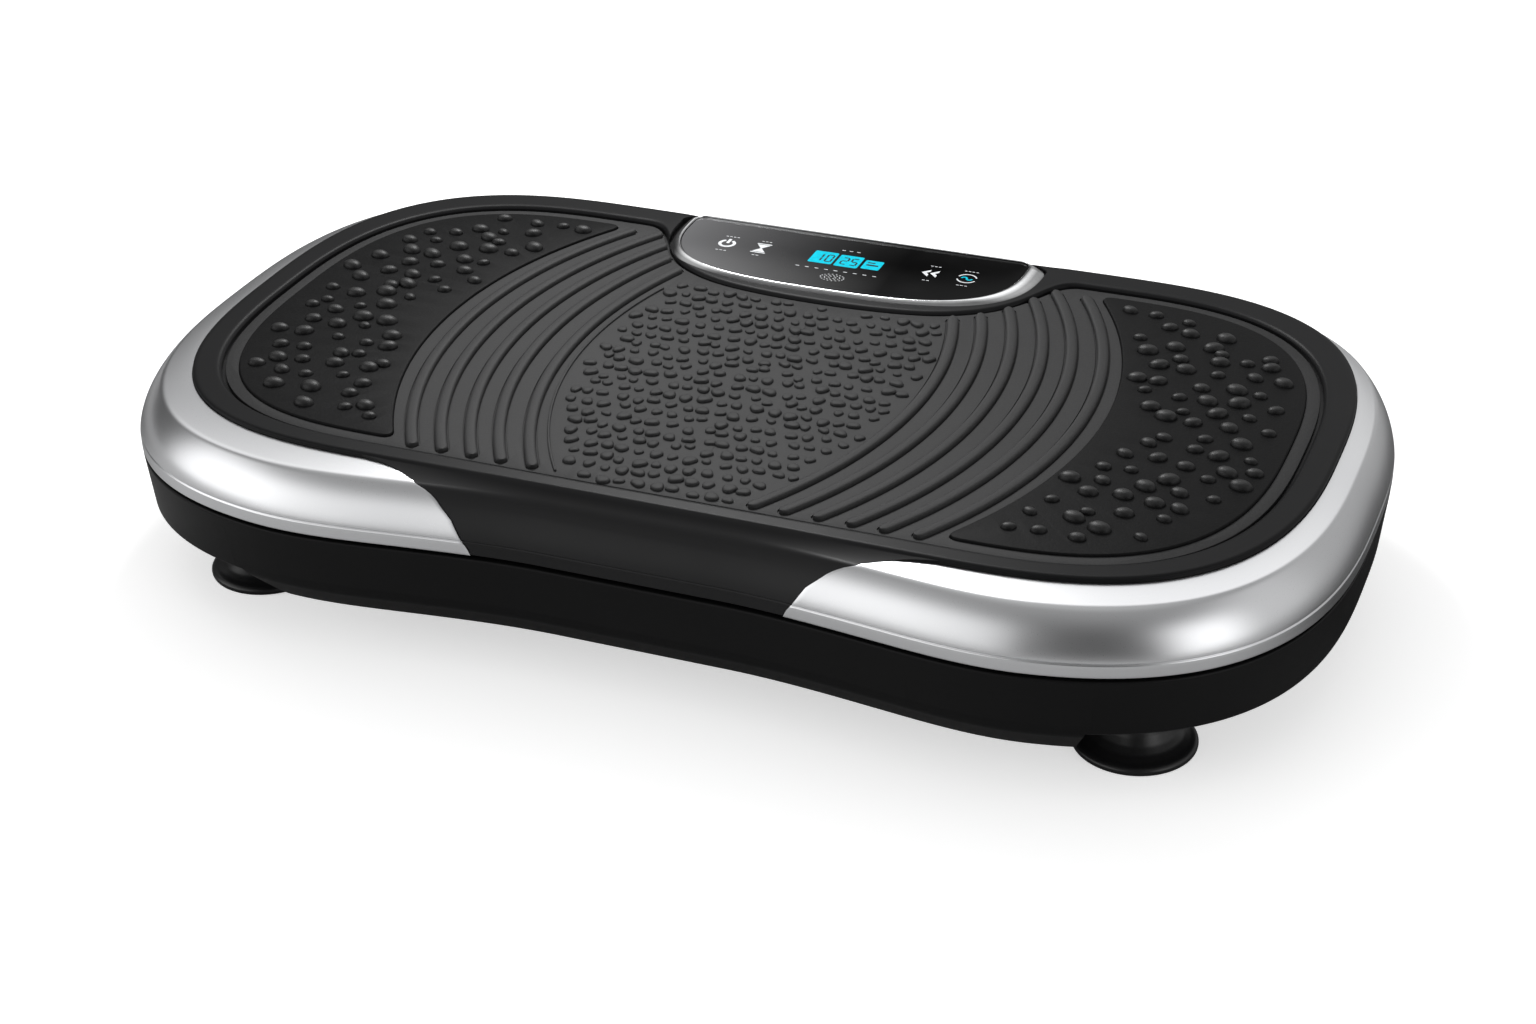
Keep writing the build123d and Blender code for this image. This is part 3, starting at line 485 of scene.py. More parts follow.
def silver_cover(sign):
    R, C = len(ROWS), 300
    outer, inner = [], []
    bottom = [(0.0, 0.0, 1.0, Z_LOW + 0.25), (0.0, 0.0, 1.0, Z_LOW)]
    rows = ROWS + bottom
    nr = np.vstack([RN, [[1.0, 0.0], [1.0, -0.2]]])
    push = np.r_[np.zeros(R), -0.12, -0.55]
    for i, w in enumerate(rows):
        h = curve(w)
        x = cut_x(w[3])
        s0, s1 = find_s(h, x, False), find_s(h, x, True)
        u = np.linspace(0, 1, C)
        s = s0 + (s1 - s0) * u
        shift = 0.4 if i == 0 else 0.0
        p = side_point(w, nr[i], s, push[i])
        if shift:
            p[:, :2] += normals2(h, s) * shift
        q = side_point(w, nr[i] if i < R else [1.0, 0.0], s, -2.1)
        if shift:
            q[:, :2] += normals2(h, s) * (shift + 0.3)
        outer.append(p); inner.append(q)
    R = len(rows)
    v = np.vstack(outer + inner)
    if sign < 0:
        v[:, 0] *= -1
    o = lambda i, j: i * C + j
    k = R * C
    f = []
    for i in range(R - 1):
        for j in range(C - 1):
            f.append((o(i, j), o(i, j + 1), o(i + 1, j + 1), o(i + 1, j)))
            f.append((k + o(i, j), k + o(i + 1, j), k + o(i + 1, j + 1), k + o(i, j + 1)))
    for j in range(C - 1):
        f.append((o(0, j), k + o(0, j), k + o(0, j + 1), o(0, j + 1)))
        f.append((o(R - 1, j), o(R - 1, j + 1), k + o(R - 1, j + 1), k + o(R - 1, j)))
    for i in range(R - 1):
        f.append((o(i, 0), o(i + 1, 0), k + o(i + 1, 0), k + o(i, 0)))
        f.append((o(i, C - 1), k + o(i, C - 1), k + o(i + 1, C - 1), o(i + 1, C - 1)))
    side = "right" if sign > 0 else "left"
    ob = new_obj("silver_end_cover_" + side, v, f)
    fix_normals(ob)
    bevel(ob, 0.45, 3, 50)
    smooth(ob, 40)
    finish_piece(ob, "platform", SILVER)
    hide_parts("silver_cover_" + side)
    return ob


for sg in (1, -1):
    silver_cover(sg)

# ---------------------------------------------------------------- mat outline and the notch


def spline_pts(ctrl, n):
    """Catmull-Rom through the control points, evenly spaced"""
    c = np.asarray(ctrl, float)
    c = np.vstack([2 * c[0] - c[1], c, 2 * c[-1] - c[-2]])
    out = []
    for i in range(1, len(c) - 2):
        p0, p1, p2, p3 = c[i - 1:i + 3]
        for t in np.linspace(0, 1, 24, endpoint=False):
            out.append(0.5 * ((2 * p1) + (-p0 + p2) * t + (2 * p0 - 5 * p1 + 4 * p2 - p3) * t * t
                              + (-p0 + 3 * p1 - 3 * p2 + p3) * t ** 3))
    out.append(c[-2])
    return by_length(np.array(out), n)


NOTCH = [(-25, 102.5), (0, 101.8), (25, 102.5), (50, 105.0), (68, 108.6), (82, 113.6), (96, 121.5), (106, 130.0), (115, 141.0),
         (122, 153.0), (128.5, 164.5), (134.5, 172.0), (142, 176.2), (152, 177.0), (164, 177.0)]
_n = spline_pts(NOTCH, 900)
_n = _n[(_n[:, 0] >= 0) & (_n[:, 0] <= 152.2)]
_n[0] = (0.0, _n[0, 1])
_m = half_loop(170, 11, 150, 166, 2.75)
_m = _m[np.where((_m[:, 0] > 152.6) | (_m[:, 1] < 0))[0]]
NOTCH_H = by_length(_n, 2001)
REST_H = by_length(np.vstack([_n[-1:], _m]), 4001)
C_H = np.vstack([NOTCH_H, REST_H[1:]])
S_NOTCH = find_s(A_H, 150.0, False)
C_S = np.r_[np.linspace(0, S_NOTCH, 2001), np.linspace(S_NOTCH, 0.5, 4001)[1:]]


def mat_pts(s, d=0.0):
    """points of the mat outline matched to the rim parameter s, moved inwards by d"""
    def at(q):
        q = np.asarray(q) % 1.0
        m = q > 0.5
        qq = np.where(m, 1 - q, q)
        return np.c_[np.where(m, -1, 1) * np.interp(qq, C_S, C_H[:, 0]), np.interp(qq, C_S, C_H[:, 1])]
    p = at(s)
    if d:
        e = 6e-4
        t = at(np.asarray(s) + e) - at(np.asarray(s) - e)
        t /= np.linalg.norm(t, axis=1)[:, None]
        p = p - np.c_[-t[:, 1], t[:, 0]] * d
    return p


# ---------------------------------------------------------------- panel outline
P_CX, P_CY, P_TOP = -6.2, 188.0, 196.6


def panel_pts(grow=0.0, top=P_TOP, r=9.0, n=420):
    """half-moon outline, clockwise from the back left corner"""
    a, b, e = 112.8 + grow, 70.5 + grow, 2.9
    th = np.linspace(0, math.pi / 2, 400)
    q = np.c_[a * np.sin(th) ** (2 / e), P_CY - b * np.cos(th) ** (2 / e)]
    r = min(r, top - P_CY)
    k = np.linspace(0, math.pi / 2, 24)
    arc = np.c_[a - r + r * np.cos(k), top - r + r * np.sin(k)]
    right = np.vstack([q, arc])                       # front middle round to the back right
    right = by_length(np.vstack([right, [[0.0, top]]]), n // 2 + 1)
    left = right[::-1].copy(); left[:, 0] *= -1
    return np.vstack([right[:-1], left[:-1]]) + np.array([P_CX, 0.0])


def ring_frame(n=600):
    """inner outline of the trim ring, its outward normals and its width: broad at the right, narrow along the back"""
    base = panel_pts(0.35, P_TOP + 0.35, 7.3, n)
    t = np.roll(base, -2, 0) - np.roll(base, 2, 0)
    t /= np.linalg.norm(t, axis=1)[:, None]
    area = 0.5 * np.sum(base[:, 0] * np.roll(base[:, 1], -1) - np.roll(base[:, 0], -1) * base[:, 1])
    nrm = np.c_[t[:, 1], -t[:, 0]] * (1 if area > 0 else -1)
    k = np.clip((base[:, 1] - 188.0) / 9.0, 0, 1)
    k = k * k * (3 - 2 * k)
    w = np.interp(base[:, 0], [-120, -100, -60, 20, 60, 85, 100, 107], [7.4, 6.6, 5.0, 4.4, 5.6, 8.2, 11.2, 12.4])
    w = np.convolve(np.r_[w[-8:], w, w[:8]], np.ones(17) / 17, "valid")
    return base, nrm, w * (1 - k) + 1.4 * k


def ring_outer(grow):
    base, nrm, w = ring_frame()
    return base + nrm * (w + grow)[:, None]


# ---------------------------------------------------------------- deck moulding
DECK = plastic("deck_black", (0.0095, 0.0095, 0.010), 0.40, grain=1400.0, bump_s=0.12, spec=0.10)


def deck_shell():
    nb, nc, nf = 150, 300, 170          # columns: back, each covered end, front
    gap = 0.00022

    def columns(w):
        h = curve(w)
        x = cut_x(w[3])
        sb, sf = find_s(h, x, False), find_s(h, x, True)
        back = np.linspace(-sb + gap, sb - gap, nb)
        right = np.linspace(sb - gap * 0.4, sf + gap * 0.4, nc)
        front = np.linspace(sf + gap, 1 - sf - gap, nf)
        left = np.linspace(1 - sf - gap * 0.4, 1 - sb + gap * 0.4, nc)
        s = np.r_[back, right, front, left]
        cov = np.r_[np.zeros(nb), np.ones(nc), np.zeros(nf), np.ones(nc)]
        return s, cov

    rings_ = []
    rows = ROWS[::-1]; nr = RN[::-1]
    # underside edge, then up the outside
    w0 = (0.0, 0.0, 1.0, Z_LOW)
    s, cov = columns(w0)
    rings_.append(side_point(w0, (1.0, 0.0), s, -5.6))
    rings_.append(side_point(w0, (1.0, 0.0), s, np.where(cov > 0, -3.2, -1.3)))
    w1 = (0.0, 0.0, 1.0, Z_LOW + 0.45)
    s, cov = columns(w1)
    rings_.append(side_point(w1, (1.0, 0.0), s, np.where(cov > 0, -2.75, -0.75)))
    for w, n in zip(rows, nr):
        s, cov = columns(w)
        p = side_point(w, n, s, np.where(cov > 0, -2.75, -0.75))
        if w[2] == 0.0:
            # flat band: uncovered parts climb smoothly to the rim
            k = w[0]
            rise = 2.55 * (0.35 * k + 0.65 * k * k)
            p[:, 2] = np.where(cov > 0, p[:, 2], p[:, 2] + rise)
        rings_.append(p)
    sA, cov = columns(ROWS[0])
    a = sample(A_H, sA)
    nA = normals2(A_H, sA)
    c = mat_pts(sA)
    span = np.linalg.norm(c - a, axis=1)
    u = (c - a) / span[:, None]
    notch_zone = np.clip((span - 30.0) / 25.0, 0, 1)
    top = 116.3 - 0.9 * notch_zone
    def edge_z(d, R):
        d = np.clip(d, 0, R)
        return R - np.sqrt(np.clip(R * R - (R - d) ** 2, 0, None))
    # rim: outer edge radius, crown, inner edge radius, wall down to the mat floor
    dists = [0.15, 0.35, 0.8, 1.6, 2.8]
    for d in dists:
        z = top - 1.2 * (1 - np.minimum(d / 2.8, 1.0)) ** 2.0 - np.where(cov > 0, 0.25 if d < 0.2 else 0.0, 0.0)
        rings_.append(np.c_[a + u * d, z])
    for f in (0.12, 0.3, 0.5, 0.7, 0.88):
        d = 2.8 + (span - 2.8 - 3.4) * f
        z = top - 0.0 * d
        rings_.append(np.c_[a + u * d[:, None], z])
    for dd in (3.4, 2.4, 1.6, 1.0, 0.5, 0.2, 0.05):
        z = top - 1.9 * (1 - dd / 3.4) ** 2.2
        rings_.append(np.c_[a + u * (span - dd)[:, None], z])
    rings_.append(np.c_[c, np.full(len(c), 113.3)])
    rings_.append(np.c_[c, np.full(len(c), 111.5)])
    # the free part of the skirt turns softly from the rim into the side
    stack3 = np.array(rings_)
    lo = 3 + sum(1 for q in rows if q[2] >= 0.52)
    hi = 3 + len(rows) + 4
    base = stack3.copy()
    for _ in range(24):
        stack3[lo:hi] += 0.5 * (0.5 * (stack3[lo - 1:hi - 1] + stack3[lo + 1:hi + 1]) - stack3[lo:hi])
    cols = np.arange(nb + 2 * nc + nf)
    far = np.zeros(len(cols))
    for c0, c1 in ((0, nb - 1), (nb + nc, nb + nc + nf - 1)):
        inside = (cols >= c0) & (cols <= c1)
        far = np.where(inside, np.minimum(cols - c0, c1 - cols), far)
    fade = np.clip((far - 6.0) / 36.0, 0, 1)[None, :, None] * (cov < 0.5)[None, :, None]
    rings_ = list(base + (stack3 - base) * fade)
    # inner skin, from the lower edge up to the underside of the top plate
    inner = []
    for w, n in list(zip(rows, nr))[::3]:
        if w[3] > 106.5:
            break
        s, cov = columns(w)
        inner.append(side_point(w, n, s, -5.6))
    last = inner[-1].copy()
    last[:, 2] = 108.4
    cen = np.array([0.0, 8.0])
    last[:, :2] = last[:, :2] + (cen - last[:, :2]) / np.linalg.norm(cen - last[:, :2], axis=1)[:, None] * 12.0
    inner.append(last)
    stack = inner[::-1] + rings_
    v, f = rings(stack)
    ob = new_obj("deck_moulding", v, f)
    bm = bmesh.new(); bm.from_mesh(ob.data)
    bmesh.ops.remove_doubles(bm, verts=bm.verts, dist=1e-6)
    bmesh.ops.triangulate(bm, faces=[q for q in bm.faces if len(q.verts) > 4])
    bmesh.ops.recalc_face_normals(bm, faces=bm.faces)
    bm.to_mesh(ob.data); bm.free()
    boolean(ob, prism("cut", ring_outer(0.3), 112.4, 130.0), "DIFFERENCE")
    boolean(ob, prism("cut", [(P_CX - 107, 190), (P_CX + 107, 190), (P_CX + 107, 215), (P_CX - 107, 215)], 112.41, 130.0), "DIFFERENCE")
    smooth(ob, 32)
    finish_piece(ob, "platform", DECK)
    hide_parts("deck_shell")
    return ob


deck_shell()

# ---------------------------------------------------------------- control panel
CHROME = chrome_material()


def glass_material():
    t = Tree("panel_gloss")
    g = t.noise(40.0, 2.0, 0.5)
    t.l(t.rng(t.noise(260.0, 3.0, 0.6), 0.05, 0.08), t.b.inputs["Roughness"])
    # painted reflection: the specular level fades along the panel from the left end to the middle
    xyz = t.n("ShaderNodeSeparateXYZ")
    t.l(t.co, xyz.inputs[0])
    t.l(t.rng(xyz.outputs["X"], 0.80, 0.03, -0.115, 0.030), t.b.inputs["Specular IOR Level"])
    # painted reflection: the base colour also fades, from a grey at the left end to near black in the middle
    painted_reflection_fade = t.n("ShaderNodeMath", operation="POWER")
    t.l(t.rng(xyz.outputs["X"], 1.0, 0.0, -0.125, 0.020), painted_reflection_fade.inputs[0]); painted_reflection_fade.inputs[1].default_value = 1.7
    gr = t.n("ShaderNodeMath", operation="MULTIPLY_ADD")
    t.l(g, gr.inputs[0]); gr.inputs[1].default_value = 0.04; gr.inputs[2].default_value = -0.02
    ad = t.n("ShaderNodeMath", operation="ADD")
    t.l(painted_reflection_fade.outputs[0], ad.inputs[0]); t.l(gr.outputs[0], ad.inputs[1])
    t.l(t.ramp(ad.outputs[0], [(0.0, (0.0005, 0.0005, 0.0006, 1)), (1.0, (0.17, 0.17, 0.175, 1))]), t.b.inputs["Base Color"])
    return t.m


def flat_plate(name, outline, z0, z1, r=0.5, k=3):
    """plate with a rounded upper edge"""
    outline = np.asarray(outline)
    t = np.roll(outline, -1, 0) - np.roll(outline, 1, 0)
    t /= np.maximum(np.linalg.norm(t, axis=1), 1e-9)[:, None]
    area = 0.5 * np.sum(outline[:, 0] * np.roll(outline[:, 1], -1) - np.roll(outline[:, 0], -1) * outline[:, 1])
    nrm = np.c_[t[:, 1], -t[:, 0]] * (1 if area > 0 else -1)
    rows = [np.c_[outline, np.full(len(outline), z0)]]
    for i in range(k + 1):
        a = math.pi / 2 * i / k
        rows.append(np.c_[outline - nrm * (r * (1 - math.cos(a))), np.full(len(outline), z1 - r + r * math.sin(a))])
    v, f = rings(rows)
    o = new_obj(name, v, f)
    bm = bmesh.new(); bm.from_mesh(o.data)
    bmesh.ops.triangulate(bm, faces=[q for q in bm.faces if len(q.verts) > 4])
    bmesh.ops.recalc_face_normals(bm, faces=bm.faces)
    bm.to_mesh(o.data); bm.free()
    return o


def panel():
    n = 600
    # trim ring: rounded section running along the outline, wider in front than at the back
    base, nrm, w = ring_frame(n)
    sec = [(0.0, 113.0), (0.0, 115.3), (0.015, 115.9), (0.05, 116.25), (0.10, 116.45), (0.17, 116.5), (0.26, 116.35), (0.40, 115.95),
           (0.55, 115.45), (0.70, 114.95), (0.84, 114.4), (0.94, 113.9), (0.985, 113.5), (1.0, 113.2), (1.0, 113.0)]
    rows = [np.c_[base + nrm * (w * a)[:, None], np.full(n, z)] for a, z in sec]
    verts = np.vstack(rows)
    faces = []
    m = len(rows)
    nn = len(base)
    for r in range(m):
        a, b = r * nn, ((r + 1) % m) * nn
        for j in range(nn):
            q = (j + 1) % nn
            faces.append((a + j, a + q, b + q, b + j))
    ring = new_obj("panel_ring", verts, faces)
    fix_normals(ring)
    smooth(ring, 50)
    # painted shade and painted highlight: the base colour is scaled by height, darker down the ring's flanks and
    # brighter along its top
    trim = CHROME.copy()
    trim.name = "ring_chrome_painted_shade_and_highlight"
    nt = trim.node_tree
    b = [q for q in nt.nodes if q.type == "BSDF_PRINCIPLED"][0]
    src = b.inputs["Base Color"].links[0].from_socket
    co, sp = nt.nodes.new("ShaderNodeTexCoord"), nt.nodes.new("ShaderNodeSeparateXYZ")
    mr, sc = nt.nodes.new("ShaderNodeMapRange"), nt.nodes.new("ShaderNodeVectorMath")
    sc.operation = "SCALE"
    nt.links.new(co.outputs["Object"], sp.inputs[0]); nt.links.new(sp.outputs["Z"], mr.inputs["Value"])
    for k, v in (("From Min", 0.1154), ("From Max", 0.1162), ("To Min", 0.46), ("To Max", 1.15)):
        mr.inputs[k].default_value = v
    nt.links.new(src, sc.inputs[0]); nt.links.new(mr.outputs[0], sc.inputs["Scale"])
    nt.links.new(sc.outputs[0], b.inputs["Base Color"])
    finish_piece(ring, "platform", trim)
    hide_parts("panel_trim_ring")
    glass = flat_plate("panel_glass_plate", panel_pts(0.0, P_TOP, 7.0, 500), 112.6, 115.5, 0.6, 4)
    smooth(glass, 40)
    finish_piece(glass, "platform", glass_material())
    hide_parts("panel_glass")


panel()

# ---------------------------------------------------------------- mat
MAT = rubber("mat_rubber", (0.026, 0.026, 0.0265), rough=0.60, grain=620.0, bump_s=0.4, depth=0.0003, spec=0.24)
PAD = rubber("pad_rubber", (0.0078, 0.0078, 0.0080), rough=0.46, grain=560.0, bump_s=0.45, depth=0.0003, spec=0.14)
Z_MAT = 114.0


def height_painted_sheen(m, z0, z1, s0, s1):
    """painted sheen: the specular level follows height, so raised parts shine more or less than the sheet between
    them
    """
    nt = m.node_tree
    co = nt.nodes.new("ShaderNodeTexCoord")
    sp = nt.nodes.new("ShaderNodeSeparateXYZ")
    mr = nt.nodes.new("ShaderNodeMapRange")
    nt.links.new(co.outputs["Object"], sp.inputs[0])
    nt.links.new(sp.outputs["Z"], mr.inputs["Value"])
    for k, v in (("From Min", z0 / 1000), ("From Max", z1 / 1000), ("To Min", s0), ("To Max", s1)):
        mr.inputs[k].default_value = v
    b = [q for q in nt.nodes if q.type == "BSDF_PRINCIPLED"][0]
    nt.links.new(mr.outputs[0], b.inputs["Specular IOR Level"])


# painted highlight: the tops of the pad nubs get a higher specular level than the pad between them
height_painted_sheen(PAD, Z_MAT + 1.7, Z_MAT + 3.8, 0.055, 0.40)
# painted shade: the specular level falls from the side of the deck up to its rim
height_painted_sheen(DECK, 110.0, 114.5, 0.24, 0.09)


def mat_outline(d, n=1500):
    s = np.linspace(0, 1, 24000, endpoint=False)
    p = mat_pts(s, d)
    p = np.vstack([p, p[:1]])
    return by_length(p, n + 1)[:-1]


def pad_outline(grow=0.0, n=420):
    """foot pad on the right: inner edge is an arc, the rest runs parallel to the mat edge"""
    R, cx, cy = 289.0, 205.5 - 289.0, 10.0
    s = np.linspace(0.0, 0.5, 6000)
    o = mat_pts(s, 10.0 - grow)
    o = o[(o[:, 0] > 150)]
    th = np.radians(np.linspace(-40, 40, 1200))
    arc = np.c_[cx + (R - grow) * np.cos(th), cy + (R - grow) * np.sin(th)]
    inside = (np.abs(np.hypot(o[:, 0] - cx, o[:, 1] - cy)) > R - grow)
    o = o[inside]
    top, bot = o[0], o[-1]
    arc = arc[(arc[:, 1] > bot[1]) & (arc[:, 1] < top[1])]
    loop = np.vstack([o, arc])
    loop = by_length(np.vstack([loop, loop[:1]]), 3001)[:-1]
    # round the two corners
    L = len(loop)
    per = np.sum(np.hypot(*np.diff(np.vstack([loop, loop[:1]]), axis=0).T)) / L
    out = loop.copy()
    for cpt in (top, bot):
        i = int(np.argmin(np.hypot(*(loop - cpt).T)))
        k = int(11.0 / per)
        idx = np.arange(i - k, i + k + 1)
        a, c, b = loop[(i - k) % L], loop[i], loop[(i + k) % L]
        t = np.linspace(0, 1, len(idx))[:, None]
        out[idx % L] = (1 - t) ** 2 * a + 2 * t * (1 - t) * c + t * t * b
    return by_length(np.vstack([out, out[:1]]), n + 1)[:-1]


def inside_poly(p, poly):
    x, y = p
    xs, ys = poly[:, 0], poly[:, 1]
    x2, y2 = np.roll(xs, -1), np.roll(ys, -1)
    c = (ys > y) != (y2 > y)
    xi = (x2 - xs) * (y - ys) / np.where(c, y2 - ys, 1.0) + xs
    return bool(np.sum(c & (x < xi)) % 2)


def poly_dist(p, poly):
    a = poly; b = np.roll(poly, -1, 0)
    ab = b - a
    t = np.clip(np.sum((p - a) * ab, axis=1) / np.maximum(np.sum(ab * ab, axis=1), 1e-12), 0, 1)
    return float(np.min(np.hypot(*(p - (a + ab * t[:, None])).T)))


def dome(cx, cy, z, a, b, h, rot, lean=0.0, n=14, rings_n=4, sink=0.7):
    """moulded nub: steep-sided rounded dome, closed below the sheet"""
    vs, fs = [], []
    ca, sa = math.cos(rot), math.sin(rot)
    prof = [(1.0, -sink), (1.0, 0.0)]
    for i in range(1, rings_n + 1):
        t = i / (rings_n + 0.6)
        r = 1 - t ** 1.5
        prof.append((r, h * (1 - r ** 2.6) ** (1 / 1.7)))
    for r, zz in prof:
        for j in range(n):
            th = 2 * math.pi * j / n
            x, y = a * r * math.cos(th), b * r * math.sin(th)
            vs.append((cx + ca * x - sa * y + lean * zz, cy + sa * x + ca * y, z + zz))
    top = len(vs); vs.append((cx + lean * h, cy, z + h))
    bot = len(vs); vs.append((cx, cy, z - sink))
    m = len(prof)
    for r in range(m - 1):
        for j in range(n):
            k = (j + 1) % n
            fs.append((r * n + j, r * n + k, (r + 1) * n + k, (r + 1) * n + j))
    for j in range(n):
        k = (j + 1) % n
        fs.append(((m - 1) * n + j, (m - 1) * n + k, top))
        fs.append((k, j, bot))
    return vs, fs


def nub(cx, cy, z, a, b, h, rot, ph, n=14, sink=0.7):
    """small flat-topped lump with an uneven outline, closed below the sheet"""
    vs, fs = [], []
    ca, sa = math.cos(rot), math.sin(rot)
    th = np.arange(n) * 2 * math.pi / n
    wob = 1 + 0.10 * np.sin(2 * th + ph) + 0.08 * np.sin(3 * th + 2.3 * ph)
    prof = [(1.0, -sink), (1.0, 0.32 * h), (0.95, 0.70 * h), (0.84, 0.93 * h), (0.6, 1.03 * h)]
    for r, zz in prof:
        for j in range(n):
            x, y = a * r * wob[j] * math.cos(th[j]), b * r * wob[j] * math.sin(th[j])
            vs.append((cx + ca * x - sa * y, cy + sa * x + ca * y, z + zz))
    top = len(vs); vs.append((cx, cy, z + 1.06 * h))
    bot = len(vs); vs.append((cx, cy, z - sink))
    m = len(prof)
    for r in range(m - 1):
        for j in range(n):
            k = (j + 1) % n
            fs.append((r * n + j, r * n + k, (r + 1) * n + k, (r + 1) * n + j))
    for j in range(n):
        k = (j + 1) % n
        fs.append(((m - 1) * n + j, (m - 1) * n + k, top))
        fs.append((k, j, bot))
    return vs, fs


def rib(path, width, h, z, sink=0.7, end=6):
    """raised bar along a path with a rounded top and rounded ends"""
    path = np.asarray(path, float)
    t = np.gradient(path, axis=0); t /= np.linalg.norm(t, axis=1)[:, None]
    nrm = np.c_[-t[:, 1], t[:, 0]]
    hw = width / 2
    stations = []
    for i in range(end):
        a = math.pi / 2 * (i + 0.35) / end
        stations.append((path[0] - t[0] * hw * math.cos(a), nrm[0], math.sin(a)))
    for i in range(len(path)):
        stations.append((path[i], nrm[i], 1.0))
    for i in range(end):
        a = math.pi / 2 * (end - i - 0.65) / end
        stations.append((path[-1] + t[-1] * hw * math.cos(a), nrm[-1], math.sin(a)))
    sec = [(-1.0, -sink), (-1.0, 0.35 * h), (-0.9, 0.72 * h), (-0.7, 0.92 * h), (-0.4, 1.0 * h), (0.4, 1.0 * h), (0.7, 0.92 * h),
           (0.9, 0.72 * h), (1.0, 0.35 * h), (1.0, -sink)]
    vs, fs = [], []
    for c, n2, k in stations:
        for u, zz in sec:
            vs.append((c[0] + n2[0] * hw * k * u, c[1] + n2[1] * hw * k * u, z + zz))
    m, q = len(stations), len(sec)
    for i in range(m - 1):
        for j in range(q):
            k = (j + 1) % q
            fs.append((i * q + j, i * q + k, (i + 1) * q + k, (i + 1) * q + j))
    fs.append(tuple(range(q))); fs.append(tuple(range((m - 1) * q, m * q))[::-1])
    return vs, fs


def merge(parts, name):
    v, f, n = [], [], 0
    for vs, fs in parts:
        v += vs; f += [tuple(i + n for i in q) for q in fs]; n += len(vs)
    o = new_obj(name, v, f)
    fix_normals(o)
    return o


def arc_path(side, x0, y_lo, y_hi, R=300.0, n=60):
    cx = x0 - R
    a0 = math.asin((y_lo - 10.0) / R); a1 = math.asin((y_hi - 10.0) / R)
    th = np.linspace(a0, a1, n)
    return np.c_[side * (cx + R * np.cos(th)), 10.0 + R * np.sin(th)]


def notch_y(x):
    """how far back the mat reaches at that x"""
    h = C_H[:6000]
    k = int(np.argmax(h[:, 0] > 318))
    return float(np.interp(abs(x), h[:k, 0], h[:k, 1]))


def build_mat():
    sheet = flat_plate("deck_mat_sheet", mat_outline(2.1), 111.7, Z_MAT, 0.5, 2)
    # seats for the two foot pads
    for sg in (1, -1):
        q = pad_outline(0.25); q[:, 0] *= sg
        boolean(sheet, prism("seat", q, Z_MAT - 1.5, Z_MAT + 5), "DIFFERENCE")
    feats, moats = [], []
    for sg, xs in ((1, (100.5, 118.5, 137.5, 156.5, 174.5, 193.5)), (-1, (118.5, 137.5, 155.5, 174.0, 192.5))):
        for x0 in xs:
            # back end: a few millimetres short of the notch or the back edge
            hi = 160.0
            for yy in np.arange(60, 165, 0.5):
                xx = x0 - 300.0 + math.sqrt(300.0 ** 2 - (yy - 10.0) ** 2)
                if yy > notch_y(xx) - 11.0 or (abs(xx) < 152 and yy > notch_y(abs(xx)) - 11.0):
                    hi = yy; break
            feats.append(rib(arc_path(sg, x0, -146.5, hi), 7.0, 2.3, Z_MAT, sink=1.3))
            moats.append(rib(arc_path(sg, x0, -146.5, hi), 9.0, 2.0, Z_MAT - 0.8, sink=0.0))
    # fine bead round the dotted field on the left
    feats.append(rib(arc_path(-1, 109.5, -147.5, 88.0, 276.0), 1.6, 1.1, Z_MAT))
    boolean(sheet, merge(moats, "moats"), "DIFFERENCE")
    boolean(sheet, merge(feats, "ribs"), "UNION")
    rng = np.random.default_rng(7)
    nubs = []
    px, py = 10.3, 11.4
    row = 0
    y = -146.0
    while y < 96.0:
        off = px / 2 if row % 2 else 0.0
        for i in range(-14, 15):
            x = i * px + off + rng.normal(0, 1.15)
            yy = y + rng.normal(0, 1.15)
            xl = -(109.5 - 276.0 + math.sqrt(276.0 ** 2 - (yy - 10.0) ** 2)) + 6.5
            xr = 100.5 - 300.0 + math.sqrt(300.0 ** 2 - (yy - 10.0) ** 2) - 9.0
            if x < xl or x > xr or yy > notch_y(x) - 8.0:
                continue
            k = rng.uniform(0.74, 1.14)
            nubs.append(nub(x, yy, Z_MAT, 3.9 * k, 3.5 * k, 1.5 * k, rng.uniform(-0.6, 0.6), rng.uniform(0, 6.28)))
        y += py * 0.5 * 2
        row += 1
    boolean(sheet, merge(nubs, "nubs"), "UNION")
    smooth(sheet, 38)
    finish_piece(sheet, "platform", MAT)
    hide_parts("deck_mat")
    for sg, side in ((1, "right"), (-1, "left")):
        out = pad_outline(0.0)
        o2 = out.copy(); o2[:, 0] *= sg
        pad = flat_plate("foot_pad_" + side + "_moulding", o2, Z_MAT - 1.4, Z_MAT + 1.5, 1.1, 4)
        rng = np.random.default_rng(11 if sg > 0 else 23)
        nubs = []
        yrow, row = -140.0, 0
        while yrow < 165.0:
            for i in range(14):
                x = 160.0 + i * 19.0 + (9.5 if row % 2 else 0.0) + rng.normal(0, 2.6)
                yy = yrow + rng.normal(0, 2.4)
                p = np.array([x, yy])
                if not inside_poly(p, out) or poly_dist(p, out) < 9.0:
                    continue
                # bare wedge at the middle of the inner edge
                if x < 238.0 - abs(yy - 12.0) * 0.75:
                    continue
                k = rng.uniform(0.66, 1.12)
                nubs.append(dome(sg * x, yy, Z_MAT + 1.5, 6.3 * k, 4.7 * k, 3.6 * k, rng.uniform(-0.45, 0.45),
                                 lean=rng.uniform(-0.2, 0.2), n=20, rings_n=5, sink=1.0))
            yrow += 16.0
            row += 1
        boolean(pad, merge(nubs, "nubs"), "UNION")
        smooth(pad, 42)
        finish_piece(pad, "platform", PAD)
        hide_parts("foot_pad_" + side)


build_mat()

